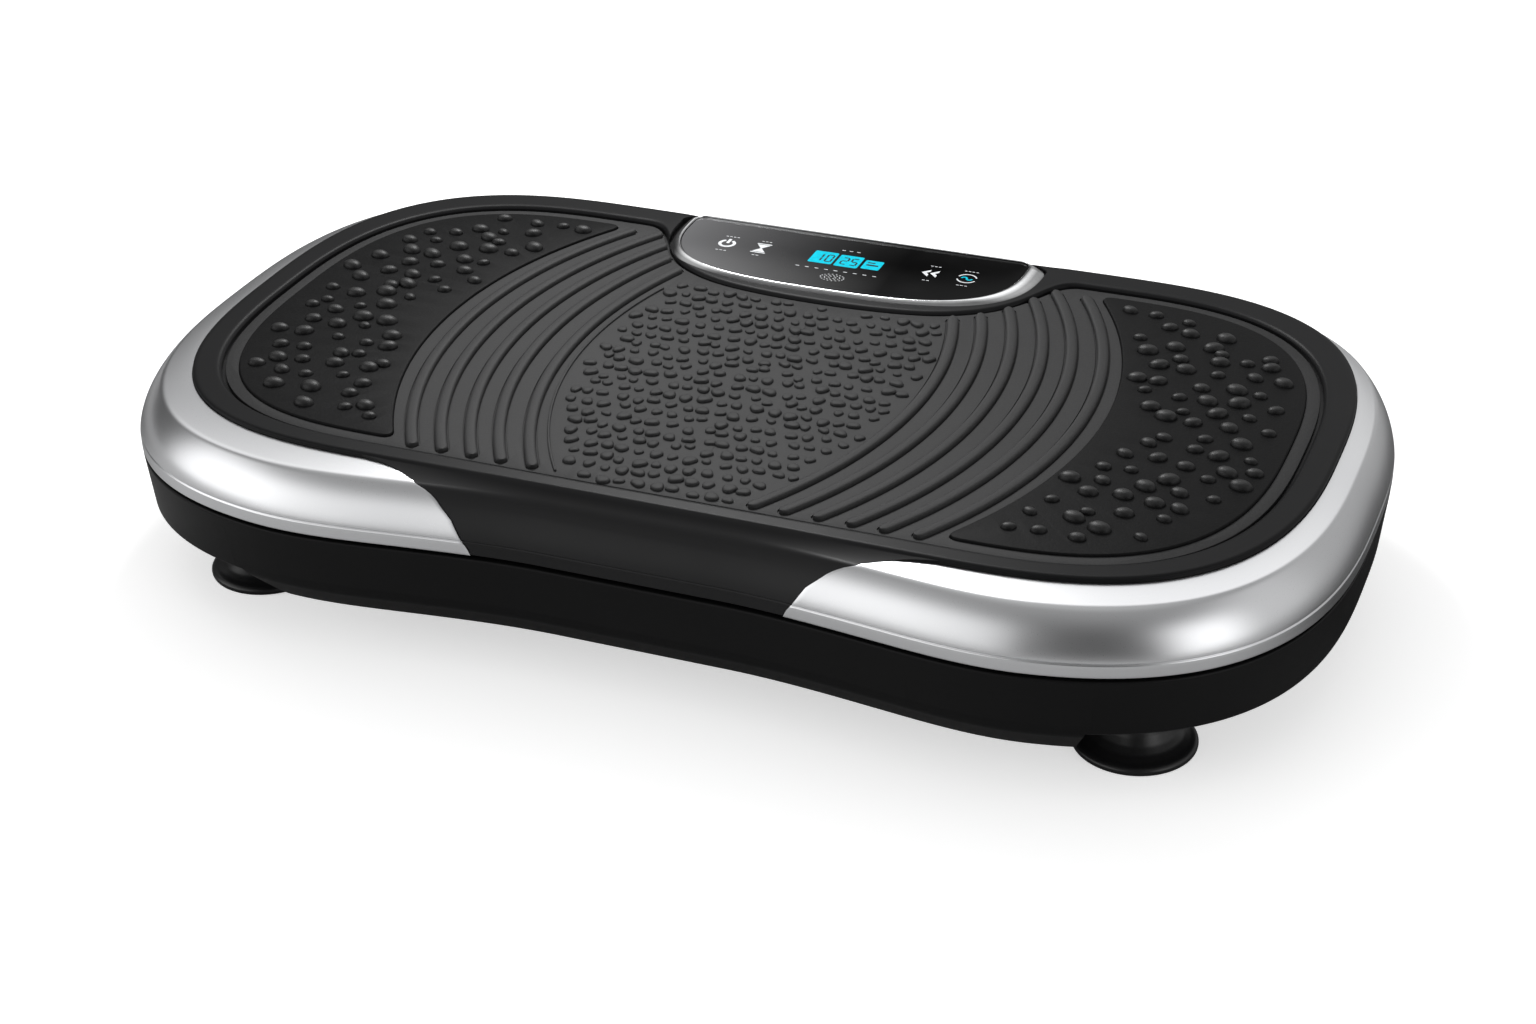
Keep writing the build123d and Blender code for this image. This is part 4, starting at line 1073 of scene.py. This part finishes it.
# ---------------------------------------------------------------- markings under the glass: generic signs only
def glow(name, col, strength, rough=0.3):
    t = Tree(name)
    g = t.noise(420.0, 3.0, 0.6)
    c = t.ramp(g, [(0.3, mix_col(col, 0.82)), (0.7, mix_col(col, 1.12))])
    t.l(c, t.b.inputs["Base Color"])
    t.l(c, t.b.inputs["Emission Color"])
    t.l(t.rng(g, rough, rough + 0.08), t.b.inputs["Roughness"])
    t.s(Emission_Strength=strength, Specular_IOR_Level=0.05)
    return t.m


def inlay(polys, z0, z1):
    """thin closed prisms from (x, y) polygons"""
    v, f, n = [], [], 0
    for p in polys:
        p = np.asarray(p, float)
        a = 0.5 * np.sum(p[:, 0] * np.roll(p[:, 1], -1) - np.roll(p[:, 0], -1) * p[:, 1])
        if a < 0:
            p = p[::-1]
        m = len(p)
        v += [(x, y, z0) for x, y in p] + [(x, y, z1) for x, y in p]
        f.append(tuple(range(n, n + m))[::-1]); f.append(tuple(range(n + m, n + 2 * m)))
        for i in range(m):
            j = (i + 1) % m
            f.append((n + i, n + j, n + m + j, n + m + i))
        n += 2 * m
    return v, f


def rrect(x0, x1, y0, y1, r=1.0, k=5):
    pts = []
    for cx, cy, a0 in ((x1 - r, y1 - r, 0), (x0 + r, y1 - r, 90), (x0 + r, y0 + r, 180), (x1 - r, y0 + r, 270)):
        for i in range(k + 1):
            a = math.radians(a0 + 90 * i / k)
            pts.append((cx + r * math.cos(a), cy + r * math.sin(a)))
    return pts


def stroke(p0, p1, w):
    p0, p1 = np.array(p0, float), np.array(p1, float)
    t = (p1 - p0) / np.linalg.norm(p1 - p0)
    n = np.array([-t[1], t[0]]) * w / 2
    return [tuple(q) for q in (p0 - n, p1 - n, p1 + n, p0 + n)]


def arc_band(cx, cy, r, w, a0, a1, k=22, sy=1.0):
    o, i = [], []
    for q in range(k + 1):
        a = math.radians(a0 + (a1 - a0) * q / k)
        o.append((cx + (r + w / 2) * math.cos(a), cy + sy * (r + w / 2) * math.sin(a)))
        i.append((cx + (r - w / 2) * math.cos(a), cy + sy * (r - w / 2) * math.sin(a)))
    return o + i[::-1]


def disc(cx, cy, r, k=14, sy=1.0):
    return [(cx + r * math.cos(2 * math.pi * i / k), cy + sy * r * math.sin(2 * math.pi * i / k)) for i in range(k)]


SEG = {"0": "abcdef", "1": "bc", "2": "abged", "3": "abgcd", "5": "afgcd", "8": "abcdefg"}


def digit(ch, x, y, w, h, t):
    """seven-segment figure, lower left corner at x, y"""
    hh = h / 2
    line = {"a": ((x, y + h), (x + w, y + h)), "g": ((x, y + hh), (x + w, y + hh)), "d": ((x, y), (x + w, y)),
            "f": ((x, y + hh), (x, y + h)), "b": ((x + w, y + hh), (x + w, y + h)),
            "e": ((x, y), (x, y + hh)), "c": ((x + w, y), (x + w, y + hh))}
    out = []
    for k in SEG[ch]:
        p0, p1 = np.array(line[k][0], float), np.array(line[k][1], float)
        d = (p1 - p0) / np.linalg.norm(p1 - p0)
        out.append(stroke(p0 + d * 0.3 * t, p1 - d * 0.3 * t, t))
    return out


def markings():
    zt = 115.5
    cyan, dark, white = [], [], []
    for x0, x1, y0, y1 in ((-22.5, -6.8, 158.5, 176.0), (-5.0, 10.6, 158.0, 175.0), (12.6, 24.6, 159.5, 172.5)):
        cyan.append(rrect(x0, x1, y0, y1, 1.2))
    for x, c in ((-19.4, "1"), (-12.4, "0")):
        dark += digit(c, x, 162.0, 3.9, 10.0, 1.15)
    for x, c in ((-2.0, "2"), (4.4, "5")):
        dark += digit(c, x, 161.6, 3.9, 9.6, 1.15)
    dark.append(rrect(14.6, 22.6, 164.6, 166.6, 0.8))
    dark.append(rrect(14.6, 19.6, 168.4, 169.8, 0.6))
    # start and stop sign
    cx, cy = -80.5, 167.0
    white.append(arc_band(cx, cy, 5.6, 2.5, 118, 422, 28)); white.append(rrect(cx - 1.2, cx + 1.2, cy + 0.4, cy + 8.4, 0.9))
    # time sign: two triangles between bars
    cx = -57.0
    white.append([(cx - 5.2, cy + 6.4), (cx + 5.2, cy + 6.4), (cx + 0.5, cy), (cx - 0.5, cy)])
    white.append([(cx - 5.2, cy - 6.4), (cx + 5.2, cy - 6.4), (cx + 0.5, cy), (cx - 0.5, cy)])
    white.append(rrect(cx - 6.0, cx + 6.0, cy + 7.2, cy + 8.4, 0.5)); white.append(rrect(cx - 6.0, cx + 6.0, cy - 8.4, cy - 7.2, 0.5))
    # slower: double arrow head
    cx = 57.0
    for dx in (-4.6, 2.0):
        white.append([(cx + dx - 2.6, cy), (cx + dx + 3.4, cy + 6.0), (cx + dx + 3.4, cy + 2.4), (cx + dx + 1.2, cy),
                      (cx + dx + 3.4, cy - 2.4), (cx + dx + 3.4, cy - 6.0)])
    # programme sign: ring with a blue wave inside
    cx = 80.5
    white.append(arc_band(cx, cy, 7.2, 1.1, 20, 160, 18)); white.append(arc_band(cx, cy, 7.2, 1.1, 200, 340, 18))
    cyan.append(arc_band(cx - 2.0, cy, 2.0, 1.5, 0, 180, 12)); cyan.append(arc_band(cx + 2.0, cy, 2.0, 1.5, 180, 360, 12))
    # small dashes over and under each sign
    for cx, o in ((-80.5, 4), (-57, 3), (57, 3), (80.5, 4)):
        for k in range(o):
            x = cx + (k - (o - 1) / 2) * 3.0
            white.append(rrect(x - 1.0, x + 1.0, cy + 12.2, cy + 12.9, 0.3))
        for k in range(o - 1):
            x = cx + (k - (o - 2) / 2) * 3.2
            white.append(rrect(x - 1.1, x + 1.1, cy - 13.2, cy - 12.5, 0.3))
    for k in range(9):
        x = -26 + k * 6.4
        white.append(rrect(x - 1.3, x + 1.3, 150.2, 150.9, 0.3))
    for k in range(3):
        white.append(rrect(-6 + k * 5 - 1.2, -6 + k * 5 + 1.2, 181.2, 181.8, 0.25))
    for r, m in ((2.4, 6), (5.0, 12), (7.6, 18)):
        for k in range(m):
            a = 2 * math.pi * k / m
            white.append(disc(1 + r * math.cos(a), 140.5 + 0.62 * r * math.sin(a), 0.42, 8))
    # the whole print sits a little to the left of the middle; the signs are small
    centres = ((-80.5, 167.0), (-57.0, 167.0), (57.0, 167.0), (80.5, 167.0))

    def place(p):
        p = np.asarray(p, float)
        m = p.mean(0)
        d = [math.hypot(m[0] - c[0], m[1] - c[1]) for c in centres]
        k = int(np.argmin(d))
        if d[k] < 16.0:
            c = np.array(centres[k])
            p = c + (p - c) * 0.84
        return p + np.array([-5.1, -4.5])
    cyan, dark, white = [place(p) for p in cyan], [place(p) for p in dark], [place(p) for p in white]
    for name, polys, z0, z1, mat in (("panel_legend_white", white, zt - 0.10, zt + 0.03, glow("legend_white", (0.80, 0.82, 0.84), 0.10)),
                                     ("panel_display_blue", cyan, zt - 0.10, zt + 0.03, glow("display_blue", (0.0, 0.40, 0.52), 0.60)),
                                     ("panel_display_figures", dark, zt - 0.05, zt + 0.06, FIGURE)):
        v, f = inlay(polys, z0, z1)
        ob = new_obj(name, v, f)
        fix_normals(ob)
        finish_piece(ob, "platform", mat)


FIGURE = plastic("display_figure", (0.002, 0.010, 0.016), 0.25, spec=0.4)
markings()

# ---------------------------------------------------------------- base tray
SHELL = plastic("shell_black", (0.005, 0.005, 0.0052), 0.42, grain=1300.0, bump_s=0.12, spec=0.14)
BELLY_L, BELLY_R, RAMP_L, RAMP_R, HOLLOW_R = -212.0, 247.0, 20.0, 7.0, 237.0


def base_rings(prof, n=560):
    """closed body from (inset, z) pairs along the parting outline"""
    s = np.linspace(0, 1, n, endpoint=False)
    h = curve((0, 0, 1))
    p = sample(h, s); nn = normals2(h, s)
    v, f = rings([np.c_[p - nn * d, np.full(n, z)] for d, z in prof])
    o = new_obj("t", v, f); fix_normals(o); return o


def xz_body(pts, y0, y1):
    pts = np.asarray(pts, float)
    a = np.c_[pts[:, 0], np.full(len(pts), y0), pts[:, 1]]
    b = np.c_[pts[:, 0], np.full(len(pts), y1), pts[:, 1]]
    v, f = rings([a, b])
    o = new_obj("t", v, f); fix_normals(o); return o


def block(x0, x1, y0, y1, z0, z1):
    return xz_body([(x0, z0), (x1, z0), (x1, z1), (x0, z1)], y0, y1)


def wall_in(z):
    return 3.5 - 3.35 * (z - 42.0) / 35.0


def base_tray():
    tray = base_rings(fillet_prof([(70, 42.0), (9.0, 42.0), (3.5, 43.0), (0.15, 77.0), (7.2, 77.05), (7.2, 85.0), (9.8, 85.0), (9.8, 84.0)], 1.7, 6))
    belly = base_rings(fillet_prof([(70, 27.5), (14.5, 27.5), (3.48, 42.0), (wall_in(49) - 0.02, 49.0), (5.8, 49.4), (5.8, 50.0)], 2.2, 5))
    trap = fillet_prof([(-150, 60), (-250, 60), (BELLY_L - RAMP_L - 8, 46), (BELLY_L - RAMP_L, 42.0), (BELLY_L, 27.5), (-100, 27.4)], 9.0, 8)
    trap = trap[:-1] + fillet_prof([(-100, 27.4), (BELLY_R, 27.4), (BELLY_R + RAMP_R, 42.0), (BELLY_R + RAMP_R + 2, 47), (258, 60), (150, 60)], 3.0, 6)
    boolean(belly, xz_body(trap, -240, 240), "INTERSECT")
    boolean(tray, belly, "UNION")
    boolean(tray, base_rings([(6.5, 45.0), (4.2, 73.0), (9.8, 73.6), (9.8, 87.0)]), "DIFFERENCE")
    inner = base_rings([(17.5, 30.5), (6.6, 42.0), (6.6, 52.0)])
    boolean(inner, xz_body([(BELLY_L + 3, 30.4), (HOLLOW_R - 3, 30.4), (HOLLOW_R, 42), (HOLLOW_R, 53),
                            (BELLY_L - RAMP_L + 3, 53), (BELLY_L - RAMP_L + 3, 42)], -240, 240), "INTERSECT")
    boolean(tray, inner, "DIFFERENCE")
    boolean(tray, block(-150, 150, -95, 95, 20, 36), "DIFFERENCE")
    boolean(tray, block(-114, -26, 188, 232, 47, 71), "DIFFERENCE")
    for x in (-265, 265):
        for y in (-127, 127):
            boolean(tray, lathe("h", [(0, 38), (4.3, 38), (4.3, 50), (0, 50)], x, y, 32), "DIFFERENCE")
            boolean(tray, lathe("p", [(0, 20), (21.0, 20), (21.0, 41.98), (0, 41.98)], x, y, 72), "DIFFERENCE")
    smooth(tray, 30)
    tray.name = "base_tray_moulding"
    finish_piece(tray, "base", SHELL)
    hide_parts("base_tray")
    return tray


base_tray()

FOOT = rubber("foot_rubber", (0.008, 0.008, 0.0085), rough=0.34, grain=700.0, bump_s=0.10, depth=0.00012, spec=0.5, speck=0.15)


def suction_foot(node, x, y):
    prof = [(0, 1.6), (26, 1.6), (29.5, 0.0), (33.4, 0.0), (34.0, 1.2), (34.0, 3.0), (32.4, 4.6), (29.5, 5.6), (26.0, 7.6), (22.6, 11.0), (20.0, 15.0),
            (18.6, 19.0), (18.0, 23.0), (18.0, 30.0), (19.6, 31.0), (19.6, 41.9), (4.2, 41.9), (4.2, 14.2), (0, 14.2)]
    ob = lathe(node + "_cup", fillet_prof(prof, 1.1, 4), x, y, 112)
    smooth(ob, 35)
    finish_piece(ob, "base", FOOT)
    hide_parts(node)


for _n1, _y in (("front", -127.0), ("back", 127.0)):
    for _n2, _x in (("left", -265.0), ("right", 265.0)):
        suction_foot("suction_foot_%s_%s" % (_n1, _n2), _x, _y)

# ---------------------------------------------------------------- finishes of the remaining nodes
def board_material():
    t = Tree("board_green")
    g = t.noise(90.0, 2.0, 0.4)
    v = t.n("ShaderNodeTexVoronoi", feature="DISTANCE_TO_EDGE")
    v.inputs["Scale"].default_value = 160.0
    t.l(t.co, v.inputs["Vector"])
    m = t.n("ShaderNodeMix", data_type="RGBA")
    t.l(t.ramp(v.outputs["Distance"], [(0.02, (0, 0, 0, 1)), (0.05, (1, 1, 1, 1))]), m.inputs["Factor"])
    m.inputs["A"].default_value = (0.03, 0.14, 0.06, 1)
    t.l(t.ramp(g, [(0.3, (0.008, 0.07, 0.03, 1)), (0.7, (0.012, 0.09, 0.04, 1))]), m.inputs["B"])
    t.l(m.outputs["Result"], t.b.inputs["Base Color"])
    t.l(t.rng(g, 0.25, 0.38), t.b.inputs["Roughness"])
    return t.m


def powder(name, col):
    t = Tree(name)
    g = t.noise(700.0, 3.0, 0.6)
    big = t.noise(8.0, 3.0, 0.5)
    t.l(t.ramp(big, [(0.3, mix_col(col, 0.88)), (0.7, mix_col(col, 1.12))]), t.b.inputs["Base Color"])
    t.l(t.rng(g, 0.42, 0.58), t.b.inputs["Roughness"])
    t.l(t.bump(g, 0.35, 0.0002), t.b.inputs["Normal"])
    return t.m


FINISH = {
    "shell_black": SHELL, "deck_black": DECK, "silver_trim": SILVER, "ring_chrome": CHROME,
    "panel_gloss": bpy.data.materials["panel_gloss"], "mat_rubber": MAT, "pad_rubber": PAD, "foot_rubber": FOOT,
    "buffer_rubber": rubber("buffer_rubber", (0.05, 0.05, 0.05), 0.8, 420.0),
    "frame_steel": powder("frame_steel", (0.05, 0.05, 0.055)),
    "cast_block": metal("cast_block", (0.17, 0.18, 0.19), 0.6, grain=240.0, bump_s=0.5, metallic=0.8),
    "bearing_steel": metal("bearing_steel", (0.62, 0.62, 0.64), 0.24, (1, 14, 1), 300.0),
    "ground_steel": metal("ground_steel", (0.6, 0.6, 0.62), 0.3, (1, 20, 1), 300.0),
    "screw_steel": metal("screw_steel", (0.55, 0.55, 0.56), 0.36, (1, 1, 8), 500.0),
    "spring_steel": metal("spring_steel", (0.45, 0.45, 0.47), 0.34, (1, 1, 8), 500.0),
    "board_green": board_material(),
    "display_face": plastic("display_face", (0.006, 0.008, 0.010), 0.12, spec=0.5),
    "motor_case": metal("motor_case", (0.42, 0.43, 0.44), 0.38, (1, 10, 1), 240.0, 0.15),
    "magnet_dark": metal("magnet_dark", (0.10, 0.10, 0.105), 0.5, grain=200.0, metallic=0.6),
    "rotor_steel": metal("rotor_steel", (0.38, 0.37, 0.36), 0.4, (1, 18, 1), 300.0),
    "fan_plastic": plastic("fan_plastic", (0.02, 0.05, 0.10), 0.45),
    "pulley_alu": metal("pulley_alu", (0.70, 0.71, 0.72), 0.32, (1, 16, 1), 300.0),
    "belt_rubber": rubber("belt_rubber", (0.018, 0.018, 0.018), 0.7, 480.0),
    "rod_alu": metal("rod_alu", (0.62, 0.63, 0.64), 0.45, grain=260.0, bump_s=0.3),
    "component_dark": plastic("component_dark", (0.02, 0.02, 0.024), 0.4),
    "heatsink_alu": metal("heatsink_alu", (0.55, 0.56, 0.57), 0.35, (1, 30, 1), 260.0),
    "standoff_plastic": plastic("standoff_plastic", (0.55, 0.54, 0.50), 0.5),
    "socket_plastic": plastic("socket_plastic", (0.012, 0.012, 0.013), 0.46),
    "rocker_plastic": plastic("rocker_plastic", (0.35, 0.012, 0.012), 0.28, coat=0.3),
    "cable_jacket": rubber("cable_jacket", (0.016, 0.016, 0.017), 0.55, 380.0),
}
for sp in RECORD["subparts"]:
    ob = NODES.get(sp["node"])
    if ob is None:
        continue
    mat = FINISH[sp["material_slot"]]
    if not ob.material_slots:
        ob.data.materials.append(mat)
    for sl in ob.material_slots:
        sl.material = mat

# ---------------------------------------------------------------- stage, light, camera
PANELS = [
    (212.0, 24.0, 14.0, -35.0, 38.0, 12.0, 0.6), (227.0, 38.0, 9.0, -35.0, 40.0, 12.0, 1.1),
    (336.0, 16.0, 11.0, -30.0, 38.0, 12.0, 1.75), (8.0, 18.0, 14.0, -30.0, 48.0, 12.0, 0.6),
    (60.0, 40.0, 15.0, -20.0, 50.0, 12.0, 0.42), (125.0, 45.0, 15.0, 30.0, 56.0, 9.0, 1.1),
]

def stage():
    sc = bpy.context.scene
    fm = Tree("pale_floor")
    g = fm.noise(3.0, 3.0, 0.5)
    lp = fm.n("ShaderNodeLightPath")
    near = fm.n("ShaderNodeMix", data_type="RGBA")
    fm.l(lp.outputs["Is Camera Ray"], near.inputs["Factor"])
    # painted shade for the rays the object mirrors and bounces: the floor's colour is a bright sweep in front and far
    # away, darker close to the object and behind it
    xyz = fm.n("ShaderNodeSeparateXYZ")
    fm.l(fm.co, xyz.inputs[0])
    ln = fm.n("ShaderNodeVectorMath", operation="LENGTH")
    fm.l(fm.co, ln.inputs[0])
    top = fm.n("ShaderNodeMath", operation="MAXIMUM")
    fm.l(fm.rng(xyz.outputs["Y"], 0.64, 0.12, -0.20, 0.02), top.inputs[0])
    fm.l(fm.rng(ln.outputs["Value"], 0.12, 0.64, 0.55, 1.15), top.inputs[1])
    fm.l(top.outputs[0], near.inputs["A"])
    fm.l(fm.ramp(g, [(0.3, (0.90, 0.90, 0.90, 1)), (0.7, (0.92, 0.92, 0.92, 1))]), near.inputs["B"])
    fm.l(near.outputs["Result"], fm.b.inputs["Base Color"])
    fm.s(Roughness=0.9, Specular_IOR_Level=0.0)
    fm.b.inputs["Emission Color"].default_value = (1, 1, 1, 1)
    fm.l(fm.rng(lp.outputs["Is Camera Ray"], 0.0, 0.56), fm.b.inputs["Emission Strength"])
    floor = new_obj("floor", [(-9000, -9000, -0.3), (9000, -9000, -0.3), (9000, 9000, -0.3), (-9000, 9000, -0.3)], [(0, 1, 2, 3)])
    assign(floor, fm.m)
    w = bpy.data.worlds.new("studio"); sc.world = w; w.use_nodes = True
    nt = w.node_tree; nt.nodes.clear()

    def node(kind, **kw):
        x = nt.nodes.new(kind)
        for k, v in kw.items():
            setattr(x, k, v)
        return x

    def math2(op, a, b=None):
        x = node("ShaderNodeMath", operation=op)
        for i, v in enumerate((a, b)):
            if v is None:
                continue
            if isinstance(v, (int, float)):
                x.inputs[i].default_value = v
            else:
                nt.links.new(v, x.inputs[i])
        return x.outputs[0]

    def ease(v, x0, x1, y0, y1):
        x = node("ShaderNodeMapRange", interpolation_type="SMOOTHSTEP")
        for k, q in (("From Min", x0), ("From Max", x1), ("To Min", y0), ("To Max", y1)):
            x.inputs[k].default_value = q
        nt.links.new(v, x.inputs["Value"])
        return x.outputs["Result"]

    tc = node("ShaderNodeTexCoord"); sp = node("ShaderNodeSeparateXYZ")
    nt.links.new(tc.outputs["Generated"], sp.inputs[0])
    X, Y, Z = sp.outputs
    az = math2("MULTIPLY", math2("ARCTAN2", Y, X), 180.0 / math.pi)
    el = math2("MULTIPLY", math2("ARCSINE", math2("MINIMUM", math2("MAXIMUM", Z, -1.0), 1.0)), 180.0 / math.pi)

    def panel_at(c, half, soft, lo, hi, esoft, level):
        """soft-edged bright panel: middle azimuth, half width, edge; lowest and highest elevation, edge; radiance"""
        d = math2("ABSOLUTE", math2("SUBTRACT", math2("MODULO", math2("ADD", math2("SUBTRACT", az, c), 900.0), 360.0), 180.0))
        a = ease(d, half - soft, half + soft, 1.0, 0.0)
        b = ease(el, lo - esoft, lo + esoft, 0.0, 1.0)
        t = ease(el, hi - esoft, hi + esoft, 1.0, 0.0)
        return math2("MULTIPLY", math2("MULTIPLY", a, b), math2("MULTIPLY", t, level))

    total = ease(el, 30.0, 80.0, 0.08, 0.55)
    for p in PANELS:
        total = math2("ADD", total, panel_at(*p))
    out = node("ShaderNodeOutputWorld"); bg = node("ShaderNodeBackground")
    nt.links.new(total, bg.inputs["Strength"])
    bg.inputs["Color"].default_value = (1, 1, 1, 1)
    nt.links.new(bg.outputs[0], out.inputs["Surface"])

    def area(name, loc, target, size, size_y, power):
        li = bpy.data.lights.new(name, "AREA"); li.shape = "RECTANGLE"
        li.size = size; li.size_y = size_y; li.energy = power
        ob = bpy.data.objects.new(name, li); sc.collection.objects.link(ob)
        ob.location = loc
        ob.rotation_euler = (Vector(target) - Vector(loc)).to_track_quat("-Z", "Y").to_euler()
        return ob

    area("mat_key", (-0.30, 0.55, 0.78), (-0.08, 0.0, 0.11), 0.30, 0.30, 5.0)

    cam = bpy.data.cameras.new("camera"); co = bpy.data.objects.new("camera", cam)
    sc.collection.objects.link(co); sc.camera = co
    az, el, roll = math.radians(22.03), math.radians(29.62), math.radians(-1.01)
    back = Vector((math.sin(az) * math.cos(el), -math.cos(az) * math.cos(el), math.sin(el)))
    right = Vector((math.cos(az), math.sin(az), 0))
    up = back.cross(right)
    r2 = right * math.cos(roll) + up * math.sin(roll)
    u2 = -right * math.sin(roll) + up * math.cos(roll)
    pos = back * 1.588 + r2 * 0.0025 + u2 * -0.0856 + Vector((0, 0.010, 0.114))
    m = Matrix(((r2.x, u2.x, back.x, pos.x), (r2.y, u2.y, back.y, pos.y), (r2.z, u2.z, back.z, pos.z), (0, 0, 0, 1)))
    co.matrix_world = m
    cam.sensor_width = 36.0
    cam.sensor_fit = "HORIZONTAL"
    cam.lens = 2712.0 / 1536.0 * 36.0
    cam.clip_start = 0.05; cam.clip_end = 50.0
    sc.view_settings.view_transform = "Standard"
    sc.view_settings.look = "None"
    sc.view_settings.exposure = 0.0


stage()
